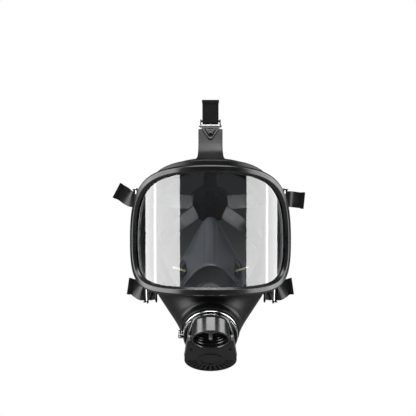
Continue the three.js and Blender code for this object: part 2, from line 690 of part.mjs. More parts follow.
function tongueOutline(grow, top) {
  // Seen from outside: straight sides that run into the valve's round end.
  const wide = TONGUE_HALF_WIDTH + grow;
  return [[-wide, top], ...arc(0, -GRILLE_OFFSET, GRILLE_RADIUS + grow, 178, 362, 20), [wide, top]];
}

function circlePoints(radius, height, group, centreY = 0) {
  return Array.from({ length: ROUND }, (_, i) => {
    const angle = (2 * Math.PI * i) / ROUND;
    const point = vec(radius * Math.cos(angle), centreY + radius * Math.sin(angle), height);
    return point.applyMatrix4(group.matrixWorld);
  });
}

const coverScrewPlace = (geometry, side) => geometry.translate(side * COVER_SCREW.x, COVER_SCREW.y, 0);

function portHousing() {
  const spigotRadius = NECK_RADIUS - RUBBER - GAP;
  const base = -CONNECTOR_DEPTH - 2.5;
  const spigot = placed(disc(spigotRadius, -5, NECK_LENGTH + 1), neck);
  const elbow = new ConvexGeometry([
    ...circlePoints(spigotRadius + 0.6, NECK_LENGTH + GAP, neck),
    ...circlePoints(spigotRadius + 0.6, NECK_LENGTH + 2, neck),
    ...circlePoints(24.5, base, outlet),
    ...tongueOutline(0, 0).map(([x, y]) => vec(x, y, TONGUE_BACK).applyMatrix4(outlet.matrixWorld)),
  ]);
  const rim = placed(plate(tongueOutline(0, 0), TONGUE_BACK - 0.4, -COVER_THICKNESS - GAP), outlet);
  const duct = placed(disc(24, -20, 9), neck);
  const airway = new ConvexGeometry([
    ...circlePoints(24, 8.5, neck),
    ...circlePoints(15, base - 0.8, outlet),
    ...circlePoints(12.5, VALVE.floor + 1, outlet, -VALVE.offset),
  ]);
  const socket = placed(disc(CONNECTOR_RADIUS + GAP, -CONNECTOR_DEPTH - GAP, 20), outlet);
  const throat = placed(disc(15, base - 2, 0), outlet);
  const chamber = placed(disc(VALVE.chamber, VALVE.floor, 5).translate(0, -VALVE.offset, 0), outlet);
  const screwHoles = [1, -1].map((side) =>
    placed(coverScrewPlace(disc(COVER_SCREW.shank + GAP, -9, 5, SMALL_ROUND), side), outlet));
  const body = cut(join(spigot, elbow, rim), socket, throat, duct, airway, chamber, ...screwHoles);
  piece("port_housing", largestPart(body), "glossBlack");
}

function largestPart(geometry) {
  return geometryOf(solid(geometry).decompose().sort((a, b) => b.volume() - a.volume())[0]);
}

function connector() {
  const floor = -16;
  const profile = [
    [CONNECTOR_BORE, 0], [CONNECTOR_RADIUS, 0], [CONNECTOR_RADIUS, -CONNECTOR_DEPTH],
    [14.6, -CONNECTOR_DEPTH], [14.6, floor], [CONNECTOR_BORE, floor], [CONNECTOR_BORE, 0],
  ];
  piece("filter_connector", turned(profile), "glossBlack", outlet);
  piece("connector_gasket", ring(15.4, CONNECTOR_BORE - GAP, floor + GAP, floor + 2.4), "rubber", outlet);

  let seat = ring(11.6, 14.2, floor - 2, floor + 0.4);
  for (const turn of [0, 90]) {
    seat = join(seat, box(1.8, 24, 1.8, 0, 0, floor - 1.2).rotateZ(rad(turn)));
  }
  const post = turned([
    [0, floor - 7], [1, floor - 7], [1, floor - 2], [2.1, floor - 2], [2.1, -2], [1.5, -1], [0, -1],
  ], SMALL_ROUND);
  piece("inhalation_valve_seat", join(seat, post), "siliconeGrey", outlet);
  piece("inhalation_valve_disc", ring(1.4, 13.4, floor - 3.3, floor - 2.5), "rubber", outlet);
}

function exhalationValve() {
  const group = new THREE.Group();
  group.position.set(0, -VALVE.offset, 0);
  outlet.add(group);
  group.updateMatrixWorld(true);
  const low = VALVE.floor + GAP;
  const edge = VALVE.chamber - GAP;
  const seat = join(turned([[12.5, low], [edge, low], [edge, low + 1.2], [14.4, low + 1.2], [13.8, low + 1.8],
    [12.5, low + 1.8], [12.5, low]]), box(26, 2, 1.2, 0, 0, low + 0.6));
  piece("exhalation_valve_seat", seat, "matteBlack", group);
  const rest = low + 1.8 + GAP;
  piece("exhalation_valve_disc", turned([
    [0, rest], [VALVE.disc, rest], [VALVE.disc, rest + 0.8], [3.6, rest + 0.8],
    [3.2, rest + 1.5], [0, rest + 1.5],
  ]), "rubber", group);

  const [springLow, springHigh, turns] = [rest + 2.2, -3.1, 2];
  const coil = Array.from({ length: turns * 12 + 1 }, (_, i) => {
    const angle = (2 * Math.PI * i) / 12;
    const share = i / (turns * 12);
    return vec(4.4 * Math.cos(angle), 4.4 * Math.sin(angle), springLow + (springHigh - springLow) * share);
  });
  const wire = new THREE.Shape(arc(0, 0, 0.4, 0, 300, 5).map(([x, y]) => new THREE.Vector2(x, y)));
  const spring = new THREE.ExtrudeGeometry(wire, {
    steps: turns * 12, bevelEnabled: false, extrudePath: new THREE.CatmullRomCurve3(coil),
  });
  piece("exhalation_spring", spring, "polished", group);
}

function exhalationCover() {
  const slots = Array.from({ length: COVER_SLOTS }, (_, k) => {
    const angle = 184 + (172 * (k + 0.5)) / COVER_SLOTS;
    return box(11, 2.1, 20, 22.6, 0, 0).rotateZ(rad(angle)).translate(0, -GRILLE_OFFSET, 0);
  });
  const boss = disc(BOSS_RADIUS, -1, 0.7).translate(0, -GRILLE_OFFSET, 0);
  const cover = cut(join(plate(tongueOutline(0, 0), -COVER_THICKNESS, 0), boss),
    disc(CONNECTOR_RADIUS + 2 * GAP, -9, 9, 40), ...slots,
    ...[1, -1].map((side) => coverScrewPlace(disc(COVER_SCREW.shank + GAP, -9, 9, SMALL_ROUND), side)));
  piece("exhalation_cover", largestPart(cover), "matteBlack", outlet);
  for (const [side, word] of [[1, "left"], [-1, "right"]]) {
    const screw = turned([
      [0, -8.5], [COVER_SCREW.shank, -8.5], [COVER_SCREW.shank, GAP], [COVER_SCREW.head, GAP],
      [COVER_SCREW.head, 1.2], [0, 1.6],
    ], SMALL_ROUND);
    piece(`cover_screw_${word}`, coverScrewPlace(screw, side), "matteBlack", outlet);
  }
}

function clampBand() {
  const inner = NECK_RADIUS + GAP;
  const mid = (BAND_START + BAND_END) / 2;
  const band = ring(inner, BAND_RADIUS, BAND_START, BAND_END, 48);
  const opening = box(8, 3, 40, -BAND_RADIUS, 0, mid);
  const ear = (side) => box(6.4, 1.6, 8, -BAND_RADIUS - 2.6, side * 2.3, mid);
  const screwPlace = (geometry) => geometry.rotateX(Math.PI / 2).translate(-BAND_RADIUS - 3.3, 0, mid);
  const screwHole = screwPlace(disc(1.5, -20, 20, SMALL_ROUND));
  piece("clamp_band", cut(join(cut(band, opening), ear(1), ear(-1)), screwHole), "polished", neck);
  const screw = turned([[0, -5.5], [1.2, -5.5], [1.2, 3.4], [2.4, 3.4], [2.4, 5.4], [0, 5.4]], SMALL_ROUND);
  piece("clamp_screw", screwPlace(screw), "polished", neck);
}

// ---- Assembly ----

const buckles = BUCKLES.map(buckleSpec).map((spec) => ({ spec, group: buckleGroup(spec) }));
const tabs = buckles.map(({ spec, group }) => tabBody(spec, group));
const rivetHoles = buckles.map(({ group }) => placed(rivetHole(), group));
piece("facepiece_body", largestPart(cut(facepiece(tabs), ...rivetHoles)), "rubber");
visor();
frameHalf("visor_frame_upper", OUTLINE.length - OUTLINE_STEPS, 2 * OUTLINE_STEPS + 1, 1);
frameHalf("visor_frame_lower", OUTLINE_STEPS, 2 * OUTLINE_STEPS + 1, -1);
frameScrews();
noseCup();
portHousing();
connector();
exhalationValve();
exhalationCover();
clampBand();
for (const { spec, group } of buckles) {
  buckle(spec, group);
  strapTail(spec, group);
}
const straps = buckles.map(({ spec, group }) => strapRoute(spec, group));
piece("head_harness", join(padBody(), ...straps), "strapRubber");

export default root;
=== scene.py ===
"""Full face respirator: the visual model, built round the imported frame.

Shapes are worked out in millimetres, in the frame's own axes: +Z up, the mask facing -Y and +X the
wearer's left. A finished piece is scaled to metres and rides on its body.
"""
import math

import bmesh
import bpy
import numpy as np
from mathutils import Matrix, Vector


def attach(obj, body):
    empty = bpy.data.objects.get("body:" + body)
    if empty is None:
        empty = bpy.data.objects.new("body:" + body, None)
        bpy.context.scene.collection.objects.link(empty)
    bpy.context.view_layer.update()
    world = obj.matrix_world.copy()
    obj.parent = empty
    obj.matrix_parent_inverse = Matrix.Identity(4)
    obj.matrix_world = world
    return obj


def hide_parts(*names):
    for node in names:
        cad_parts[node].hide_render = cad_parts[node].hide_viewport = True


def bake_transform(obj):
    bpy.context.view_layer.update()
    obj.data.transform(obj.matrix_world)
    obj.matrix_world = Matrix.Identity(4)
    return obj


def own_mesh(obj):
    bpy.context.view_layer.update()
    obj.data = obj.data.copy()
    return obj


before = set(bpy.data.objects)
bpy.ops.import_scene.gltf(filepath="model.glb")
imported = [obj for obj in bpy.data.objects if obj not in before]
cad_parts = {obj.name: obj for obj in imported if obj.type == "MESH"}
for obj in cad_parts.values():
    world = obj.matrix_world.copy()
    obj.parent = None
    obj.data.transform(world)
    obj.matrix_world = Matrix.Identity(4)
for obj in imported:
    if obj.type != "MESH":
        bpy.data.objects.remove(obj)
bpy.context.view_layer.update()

METRES = Matrix.Scale(0.001, 4)
GAP = 0.3                        # clearance between two pieces that touch
WELD = 1e-4                      # points closer than this become one
ROUND = 96                       # sides of a large round piece
SMALL_ROUND = 32                 # sides of a screw, pin or rivet
SIDES = ((1, "left"), (-1, "right"))

# Visor and its frame, as in the frame's CAD.
VISOR_RADIUS = 105
VISOR_AXIS_Y = -30
VISOR_THICKNESS = 3
FRAME_TOP = 64.6
FRAME_BOTTOM = -89.8
FRAME_HALF_WIDTH = 95
FRAME_JOINT_Z = -31
FRAME_TOP_REACH = 78
FRAME_SHOULDER_Z = 45
FRAME_JAW_Z = -98
FRAME_BOTTOM_REACH = 80
FRAME_LIP = 10
FRAME_LEG = 3.6
FRAME_BACK = -9
FRAME_PROUD = 5.6
OUTLINE_STEPS = 40

# Facepiece.
RUBBER = 3
RIM_FLARE = 4.5
SEAL_OUTER = (
    ((0, -97, 72), (52, -95, 73), (80, -34, 48), (80, -32, -5)),
    ((80, -32, -5), (80, -30, -75), (46, -44, -128), (0, -48, -128)),
)
SEAL_INNER = (
    ((0, -100, 55), (42, -99, 55), (66, -50, 38), (66, -48, -5)),
    ((66, -48, -5), (66, -46, -68), (36, -62, -112), (0, -66, -112)),
)

# Port neck and outlet.
NECK_CENTRE = (0, -113.6, -136.4)
NECK_TILT = 28
NECK_RADIUS = 31.3
COLLAR_RADIUS = 35
NECK_LENGTH = 10.4
BAND_RADIUS = 32.9
BAND_START = 1
BAND_END = 9
OUTLET_CENTRE = (0, -172, -136.2)
OUTLET_TILT = 53
CONNECTOR_RADIUS = 22.5
CONNECTOR_BORE = 20
CONNECTOR_DEPTH = 18
TONGUE_HALF_WIDTH = 26
TONGUE_BACK = -7.5
GRILLE_RADIUS = 31
GRILLE_OFFSET = 50
COVER_THICKNESS = 2.3
COVER_SLOTS = 12
BOSS_RADIUS = 14.5
COVER_SCREW_PLACE = (22.8, -25)
VALVE_OFFSET = 48
VALVE_CHAMBER = 19.5
VALVE_FLOOR = -10.5
VALVE_DISC = 15.5
SPRING_RADIUS = 4.4
SPRING_WIRE = 0.4
SPRING_TURNS = 2
SPRING_TOP = -3.1
COVER_CROSS_TURN = 0.6           # of the cover screws' crosses, in radians

# Nose cup and cheek valves.
CUP_WALL = 2.2
CUP_TOP = 1
CUP_FLOOR = -97
CUP_PANEL_Y = -108
CUP_PORT_Z = -94
ARCH_TOP = -55.3
ARCH_DROP = 30
ARCH_REACH = 34
CHEEK_VALVE_PLACE = (31, -103, -64)
CHEEK_VALVE_LIFT = 18
CHEEK_VALVE_TURN = 24
CHEEK_SEAT = 11.5
CHEEK_DISC = 9.5
CHEEK_PIN = 1.1

# Buckles and straps.
STRAP_WIDTH = 20
STRAP_THICKNESS = 1.8
TAB_THICKNESS = 3
PIN_RADIUS = 1.2
PIN_LENGTH = 28.4
KNUCKLE_WALL = 0.7
BAR_RADIUS = 1.4
BAR_OFFSET = 5.8
PLATE_HALF = 11
RIVET_Y = -10.5
RIVET_HOLE = 1.9
# tab is the rubber tab's width and foot its start on the mask. tail is the strap's free end in the
# buckle's own frame, rise is how far it drifts sideways and curl bends that drift.
BUCKLES = {
    "top": {
        "pin": (0, -74, 111.5), "run": (0, 0.45, 0.89), "out": (0, -0.89, 0.45),
        "tab": 30, "foot": (0, -104, 66), "rise": 0, "curl": 0,
        "tail": ((6, 4.9), (12, 8), (19, 11.5), (26.6, 15.3)),
    },
    "temple": {
        "pin": (93, -46, 20), "run": (0.45, 0.88, 0), "out": (0.88, -0.45, 0),
        "tab": 24, "foot": (80, -74, 20), "rise": -2, "curl": 0.5,
        "tail": ((5, 4.8), (8.5, 8), (11.5, 12.5), (14.5, 20.5)),
    },
    "cheek": {
        "pin": (80, -50, -97), "run": (0.43, 0.86, -0.2), "out": (0.9, -0.42, 0.05),
        "tab": 22, "foot": (67, -77, -88), "rise": 9, "curl": 1.4,
        "tail": ((5, 4.8), (8.5, 8), (11.5, 12), (14, 19)),
    },
}
BUCKLE_NAMES = ("top", "temple_left", "temple_right", "cheek_left", "cheek_right")
RISE_OF_RIGHT_TEMPLE = 11

# Head harness.
PAD_Y = 100
PAD_Z = 8
PAD_HALF_WIDTH = 32
PAD_HALF_HEIGHT = 26
PAD_RADIUS = 92
PAD_THICKNESS = 3
HARNESS_ROUTES = {
    "top": ((0, -52, 120), (0, -24, 124.5), (0, 8, 124), (0, 42, 114), (0, 70, 92), (0, 90, 58), (0, 99, 24)),
    "temple": ((95, -22, 20), (90, 6, 19), (74, 44, 16), (50, 76, 12), (22, 95, 9)),
    "cheek": ((84, -24, -94), (80, 6, -74), (69, 42, -46), (46, 76, -22), (20, 94, -4)),
}


# ---- Places ----

def shift(x=0, y=0, z=0):
    return Matrix.Translation((x, y, z))


def spin(degrees, axis="Z"):
    return Matrix.Rotation(math.radians(degrees), 4, axis)


def moved(shape, matrix):
    shape.data.transform(matrix)
    return shape


def along_x(shape):
    return moved(shape, spin(90, "Y"))


# ---- Meshes ----

def scratch(work):
    """A scratch object from a bmesh, its faces pointing out."""
    bmesh.ops.recalc_face_normals(work, faces=work.faces)
    mesh = bpy.data.meshes.new("scratch")
    work.to_mesh(mesh)
    work.free()
    shape = bpy.data.objects.new("scratch", mesh)
    bpy.context.scene.collection.objects.link(shape)
    return shape


def raw(points, faces):
    """A scratch object from points in millimetres."""
    mesh = bpy.data.meshes.new("scratch")
    mesh.from_pydata([tuple(map(float, p)) for p in points], [], [tuple(map(int, f)) for f in faces])
    work = bmesh.new()
    work.from_mesh(mesh)
    bpy.data.meshes.remove(mesh)
    bmesh.ops.remove_doubles(work, verts=work.verts, dist=WELD)
    return scratch(work)


def loft(rings, looped=False, fanned=True):
    """A closed body through rings with the same number of points."""
    rings = np.asarray(rings, float)
    rows, count = rings.shape[:2]
    points = list(rings.reshape(-1, 3))
    faces = []
    for row in range(rows if looped else rows - 1):
        after = (row + 1) % rows
        for i in range(count):
            j = (i + 1) % count
            faces.append((row * count + i, row * count + j, after * count + j, after * count + i))
    if looped:
        return raw(points, faces)
    for row in (0, rows - 1):
        ring = [row * count + i for i in range(count)]
        if not fanned:
            faces.append(ring)
            continue
        points.append(rings[row].mean(axis=0))
        faces.extend((ring[i], ring[(i + 1) % count], len(points) - 1) for i in range(count))
    return raw(points, faces)


def turned(profile, sides=ROUND, wobble=None):
    """A profile of (radius, height) turned about +Z. It ends on the axis or closes on itself.
    wobble(radius, height, turn) may change the radius, as for a thread."""
    turns = np.arange(sides) / sides
    points = []
    rows = []
    for radius, height in profile:
        start = len(points)
        if radius < 1e-6:
            points.append((0, 0, height))
            rows.append([start] * sides)
            continue
        for turn in turns:
            reach = radius if wobble is None else wobble(radius, height, turn)
            angle = 2 * math.pi * turn
            points.append((reach * math.cos(angle), reach * math.sin(angle), height))
        rows.append(list(range(start, start + sides)))
    faces = []
    for row, after in zip(rows, rows[1:]):
        for i in range(sides):
            j = (i + 1) % sides
            corners = dict.fromkeys((row[i], row[j], after[j], after[i]))
            if len(corners) > 2:
                faces.append(tuple(corners))
    return raw(points, faces)


def disc(radius, low, high, sides=ROUND):
    return turned([(0, low), (radius, low), (radius, high), (0, high)], sides)


def rod(radius, low, high):
    return disc(radius, low, high, SMALL_ROUND)


def small_part(profile, ease=0.0):
    """A turned screw, pin or rivet. Its profile starts and ends on the axis."""
    return turned(eased(profile, ease, closed=False) if ease else profile, SMALL_ROUND)


def turned_ring(section, sides=ROUND, wobble=None):
    """A closed section turned about +Z."""
    return turned([*section, section[0]], sides, wobble)


def band(inner, outer, low, high, ease=0.0, sides=ROUND):
    """A ring of rectangular section, its corners eased."""
    corners = [(inner, low), (outer, low), (outer, high), (inner, high)]
    return turned_ring(eased(corners, ease) if ease else corners, sides)


def eased(points, radius, closed=True, steps=3):
    """The outline with its corners rounded off."""
    points = [np.asarray(p, float) for p in points]
    count = len(points)
    result = []
    for i, corner in enumerate(points):
        if not closed and i in (0, count - 1):
            result.append(corner)
            continue
        before = points[i - 1] - corner
        after = points[(i + 1) % count] - corner
        lengths = np.linalg.norm(before), np.linalg.norm(after)
        reach = min(radius, 0.45 * lengths[0], 0.45 * lengths[1])
        start = corner + before / lengths[0] * reach
        end = corner + after / lengths[1] * reach
        for t in np.linspace(0, 1, steps + 1):
            result.append((1 - t) ** 2 * start + 2 * t * (1 - t) * corner + t * t * end)
    return result


def plate(outline_points, low, high):
    """A flat outline thickened from low to high."""
    return loft([[(p[0], p[1], z) for p in outline_points] for z in (low, high)], fanned=False)


def rectangle(x, y):
    """The corners of a rectangle from its half sides."""
    return [(-x, -y), (x, -y), (x, y), (-x, y)]


def block(width, depth, height, x=0, y=0, z=0):
    return moved(plate(rectangle(width / 2, depth / 2), -height / 2, height / 2), shift(x, y, z))


def spokes(length, width, thickness, z, turns):
    """Bars across the axis, each turned by some degrees."""
    return [moved(block(length, width, thickness, 0, 0, z), spin(turn)) for turn in turns]


def arc(centre_x, centre_y, radius, start, end, steps):
    angles = np.radians(np.linspace(start, end, steps + 1))
    return [(centre_x + radius * math.cos(a), centre_y + radius * math.sin(a)) for a in angles]


def baked(shape):
    """The shape with its modifiers applied."""
    bpy.context.view_layer.update()
    graph = bpy.context.evaluated_depsgraph_get()
    mesh = bpy.data.meshes.new_from_object(shape.evaluated_get(graph))
    old = shape.data
    shape.modifiers.clear()
    shape.data = mesh
    bpy.data.meshes.remove(old)
    return shape


def modify(shape, kind, **settings):
    step = shape.modifiers.new(kind.lower(), kind)
    for name, value in settings.items():
        setattr(step, name, value)


def combined(shape, tools, operation):
    """The shape after a boolean with each of the tools, which are used up."""
    for tool in tools:
        modify(shape, "BOOLEAN", operation=operation, solver="MANIFOLD", object=tool)
    baked(shape)
    for tool in tools:
        mesh = tool.data
        bpy.data.objects.remove(tool)
        bpy.data.meshes.remove(mesh)
    return shape


def cut(shape, *tools):
    return combined(shape, tools, "DIFFERENCE")


def join(shape, *tools):
    return combined(shape, tools, "UNION")


def bevelled(shape, width, segments=2, angle=32):
    """The shape with its sharp edges rounded off."""
    limit = math.radians(angle)
    modify(shape, "BEVEL", width=width, segments=segments, limit_method="ANGLE", angle_limit=limit)
    return baked(shape)


def moulded(shape, voxel, rounds):
    """The shape remade as one skin with soft edges and fillets, as rubber comes out of a mould."""
    modify(shape, "REMESH", mode="VOXEL", voxel_size=voxel)
    modify(shape, "SMOOTH", factor=0.5, iterations=rounds)
    return baked(shape)


def hull(points):
    """The convex body round some points."""
    work = bmesh.new()
    corners = [work.verts.new(p) for p in points]
    made = bmesh.ops.convex_hull(work, input=corners)
    spare = {v for v in made["geom_interior"] + made["geom_unused"] if isinstance(v, bmesh.types.BMVert)}
    bmesh.ops.delete(work, geom=list(spare), context="VERTS")
    return scratch(work)


def finished(name, shape, slot, sharp):
    """The shape scaled to metres, shaded and given its finish."""
    moved(shape, METRES)
    shape.name = name
    shape.data.name = name
    shape.data.materials.clear()
    shape.data.materials.append(material_of(slot))
    shape.data.shade_smooth()
    shape.data.set_sharp_from_angle(angle=math.radians(sharp))
    modify(shape, "WEIGHTED_NORMAL", keep_sharp=True)
    return baked(shape)


def piece(name, shape, slot, nodes, body="root", sharp=40):
    """A finished piece, riding on its body in place of some nodes of the frame."""
    finished(name, shape, slot, sharp)
    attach(shape, body)
    if nodes:
        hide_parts(*nodes)
    return shape


# ---- Curves ----

def unit(rows):
    """Each row scaled to length 1."""
    return rows / np.linalg.norm(rows, axis=1)[:, None]


def distances(points):
    """How far along the line each of its points is."""
    return np.concatenate([[0], np.cumsum(np.linalg.norm(np.diff(points, axis=0), axis=1))])


def bezier(points, steps):
    a, b, c, d = (np.asarray(p, float) for p in points)
    t = np.linspace(0, 1, steps + 1)[:, None]
    return (1 - t) ** 3 * a + 3 * t * (1 - t) ** 2 * b + 3 * t * t * (1 - t) * c + t ** 3 * d


def quarters(upper, lower):
    """A closed outline from the top centre down the wearer's left side and up the right one."""
    half = np.vstack([upper, lower[1:]])
    other = half[1:-1][::-1].copy()
    other[:, 0] *= -1
    return np.vstack([half, other])


def between(a, b, low, high, t):
    """From a at low to b at high."""
    return (high - t) / (high - low) * a + (t - low) / (high - low) * b


def through(points, steps):
    """A centripetal Catmull-Rom curve through the points, with some steps in each span."""
    points = np.asarray(points, float)
    chain = np.vstack([2 * points[0] - points[1], points, 2 * points[-1] - points[-2]])
    result = []
    for i in range(len(points) - 1):
        p = chain[i:i + 4]
        knots = [0.0]
        for k in range(3):
            knots.append(knots[-1] + np.linalg.norm(p[k + 1] - p[k]) ** 0.5)
        for t in np.linspace(knots[1], knots[2], steps, endpoint=False):
            first, second, third = (between(p[k], p[k + 1], knots[k], knots[k + 1], t) for k in range(3))
            early = between(first, second, knots[0], knots[2], t)
            late = between(second, third, knots[1], knots[3], t)
            result.append(between(early, late, knots[1], knots[2], t))
    result.append(points[-1])
    return np.array(result)


# ---- Materials ----

def new_material(name, **inputs):
    """A material and its tree. The inputs are those of its main shader, with _ for a space."""
    material = bpy.data.materials.new(name)
    material.use_nodes = True
    shader = material.node_tree.nodes["Principled BSDF"]
    for key, value in inputs.items():
        shader.inputs[key.replace("_", " ")].default_value = value
    return material, material.node_tree, shader


def add(tree, kind, values=None, sources=None):
    """A shader node with some inputs set and others linked from sockets."""
    made = tree.nodes.new(f"ShaderNode{kind}")
    for key, value in (values or {}).items():
        made.inputs[key].default_value = value
    for key, socket in (sources or {}).items():
        tree.links.new(socket, made.inputs[key])
    return made


def spread(tree, socket, start, stop, low, high):
    """The socket's values from start to stop spread over low to high."""
    values = {"From Min": start, "From Max": stop, "To Min": low, "To Max": high}
    return add(tree, "MapRange", values, {"Value": socket}).outputs["Result"]


def finish(name, colour, roughness, metallic=0.0, grain=900.0, depth=0.00002, strength=0.3, mottle=0.25,
           wander=0.08, specular=0.5, coat=0.0, stretch=(1, 1, 1)):
    """A finish whose colour and roughness wander slowly over the piece, with a fine grain in relief.
    grain is in lumps per metre, depth in metres, and stretch draws the grain out along an axis."""
    material, tree, shader = new_material(
        name, Metallic=metallic, Specular_IOR_Level=specular, Coat_Weight=coat, Coat_Roughness=0.12)
    where = add(tree, "TexCoord").outputs["Object"]
    stretched = add(tree, "Mapping", {"Scale": stretch}, {"Vector": where}).outputs["Vector"]
    slow = add(tree, "TexNoise", {"Scale": 45, "Detail": 4}, {"Vector": where}).outputs["Fac"]
    fine = add(tree, "TexNoise", {"Scale": grain, "Detail": 3}, {"Vector": stretched}).outputs["Fac"]

    ramp = add(tree, "ValToRGB", sources={"Fac": slow})
    for stop, place, share in zip(ramp.color_ramp.elements, (0.3, 0.7), (1 - mottle, 1 + mottle)):
        stop.position = place
        stop.color = (*(min(1, c * share) for c in colour), 1)
    tree.links.new(ramp.outputs["Color"], shader.inputs["Base Color"])

    blend = add(tree, "Math", {1: 0.35}, {0: fine, 2: slow})
    blend.operation = "MULTIPLY_ADD"
    low, high = max(0.02, roughness - wander), min(1, roughness + wander)
    uneven = spread(tree, blend.outputs[0], 0.45, 0.9, low, high)
    tree.links.new(uneven, shader.inputs["Roughness"])

    relief = add(tree, "Bump", {"Strength": strength, "Distance": depth}, {"Height": fine})
    tree.links.new(relief.outputs["Normal"], shader.inputs["Normal"])
    return material


def shown_to(ray, tree, shader, other, output):
    """The other shader for one kind of ray, such as Is Shadow Ray, and the shader for the rest."""
    share = add(tree, "LightPath").outputs[ray]
    either = add(tree, "MixShader", sources={"Fac": share, 1: shader.outputs[0], 2: other.outputs[0]})
    tree.links.new(either.outputs["Shader"], tree.nodes[output].inputs["Surface"])


def clear_plastic(name):
    """The visor's clear polycarbonate: lamps shine through it, with a faint haze of fine wiping marks."""
    material, tree, shader = new_material(
        name, Base_Color=(0.86, 0.88, 0.89, 1), Transmission_Weight=1, IOR=1.6,
        Coat_Weight=1, Coat_Roughness=0.02, Coat_IOR=1.6)
    where = add(tree, "TexCoord").outputs["Object"]
    marks = add(tree, "TexNoise", {"Scale": 60, "Detail": 6}, {"Vector": where}).outputs["Fac"]
    tree.links.new(spread(tree, marks, 0.35, 0.75, 0.0, 0.05), shader.inputs["Roughness"])
    lamps = add(tree, "BsdfTransparent", {"Color": (0.82, 0.84, 0.85, 1)})
    shown_to("Is Shadow Ray", tree, shader, lamps, "Material Output")
    return material


BLACK = (0.004, 0.004, 0.0045)
DARK = (0.007, 0.007, 0.0075)
FINISHES = {
    "rubber": dict(colour=BLACK, roughness=0.34, grain=700, depth=0.00003, specular=0.3),
    "frame_plastic": dict(colour=BLACK, roughness=0.24, grain=1600, depth=0.00001, specular=0.6),
    "fastener_steel": dict(colour=(0.62, 0.63, 0.64), roughness=0.28, metallic=1, mottle=0.08),
    "cup_rubber": dict(colour=(0.042, 0.044, 0.050), roughness=0.4, grain=800, depth=0.00002, specular=0.55),
    "valve_plastic": dict(colour=(0.012, 0.012, 0.013), roughness=0.35),
    "valve_silicone": dict(colour=(0.10, 0.10, 0.105), roughness=0.45),
    "brass": dict(colour=(0.88, 0.80, 0.56), roughness=0.55, metallic=0.6, mottle=0.1),
    "housing_plastic": dict(
        colour=(0.010, 0.010, 0.011), roughness=0.2, grain=1500, depth=0.000006, coat=0.3),
    "seat_plastic": dict(colour=(0.30, 0.30, 0.31), roughness=0.4),
    "cover_plastic": dict(colour=DARK, roughness=0.34, grain=1800, depth=0.000015, specular=0.35),
    "band_steel": dict(colour=(0.66, 0.67, 0.68), roughness=0.16, metallic=1, grain=500, mottle=0.06,
                       depth=0.000004, stretch=(1, 1, 6), wander=0.05),
    "buckle_black": dict(
        colour=(0.006, 0.006, 0.0065), roughness=0.16, grain=900, depth=0.00001, specular=0.3),
    "buckle_steel": dict(colour=(0.72, 0.72, 0.71), roughness=0.2, metallic=1, mottle=0.06, wander=0.05),
    "strap_rubber": dict(colour=DARK, roughness=0.3, grain=900, depth=0.00003, specular=0.4),
}
materials = {}


def material_of(slot):
    if slot not in materials:
        made = clear_plastic(slot) if slot == "visor_clear" else finish(slot, **FINISHES[slot])
        materials[slot] = made
    return materials[slot]


# ---- Visor and frame ----

def frame_outline():
    """The frame's edge unrolled on the visor: places (u, z) and outward directions (nu, nz)."""
    joint = (FRAME_HALF_WIDTH, FRAME_JOINT_Z)
    upper = ((0, FRAME_TOP), (FRAME_TOP_REACH, FRAME_TOP), (FRAME_HALF_WIDTH, FRAME_SHOULDER_Z), joint)
    lower = (joint, (FRAME_HALF_WIDTH, FRAME_JAW_Z), (FRAME_BOTTOM_REACH, FRAME_BOTTOM), (0, FRAME_BOTTOM))
    flat = quarters(bezier(upper, OUTLINE_STEPS), bezier(lower, OUTLINE_STEPS))
    flat[:, 0] = VISOR_RADIUS * np.arcsin(flat[:, 0] / VISOR_RADIUS)
    run = unit(np.roll(flat, -1, axis=0) - np.roll(flat, 1, axis=0))
    return flat, np.stack([-run[:, 1], run[:, 0]], axis=1)


EDGE, OUTWARDS = frame_outline()
UPNESS = np.maximum(0, OUTWARDS[:, 1])


def bent(inset, proud, which=slice(None)):
    """Points inset from the frame's edge and proud of the visor's outer face."""
    inset = np.broadcast_to(inset, len(EDGE))[which]
    angle = (EDGE[which, 0] - inset * OUTWARDS[which, 0]) / VISOR_RADIUS
    radius = VISOR_RADIUS + np.asarray(proud, float)
    return np.stack([
        radius * np.sin(angle),
        VISOR_AXIS_Y - radius * np.cos(angle),
        EDGE[which, 1] - inset * OUTWARDS[which, 1],
    ], axis=1)


def make_visor():
    columns = 120
    inset = FRAME_LEG + 0.9
    edge = bent(inset, 0)[:2 * OUTLINE_STEPS + 1]
    turn = np.arctan2(edge[:, 0], VISOR_AXIS_Y - edge[:, 1])
    upper, lower = slice(0, OUTLINE_STEPS + 1), slice(2 * OUTLINE_STEPS, OUTLINE_STEPS - 1, -1)
    widest = turn.max() * 0.985
    rings = []
    for angle in np.linspace(-widest, widest, columns + 1):
        high = np.interp(abs(angle), turn[upper], edge[upper, 2])
        low = np.interp(abs(angle), turn[lower], edge[lower, 2])
        corners = [(0, high), (0, low), (-VISOR_THICKNESS, low), (-VISOR_THICKNESS, high)]
        ring = []
        for proud, z in corners:
            radius = VISOR_RADIUS + proud
            ring.append((radius * math.sin(angle), VISOR_AXIS_Y - radius * math.cos(angle), z))
        rings.append(ring)
    piece("visor_lens", loft(rings), "visor_clear", ["visor"])


FRAME_SECTION = (
    (0, FRAME_BACK), (FRAME_LEG, FRAME_BACK), (FRAME_LEG, 0.9), (FRAME_LIP, 0.9), (FRAME_LIP, 1.8),
    (7.6, FRAME_PROUD - 0.4), (2, FRAME_PROUD), (0, FRAME_PROUD - 2),
)
LUG_INSET, LUG_PROUD, LUG_WIDTH, LUG_DEPTH, LUG_HEIGHT = -2.6, -1.5, 7, 8, 7


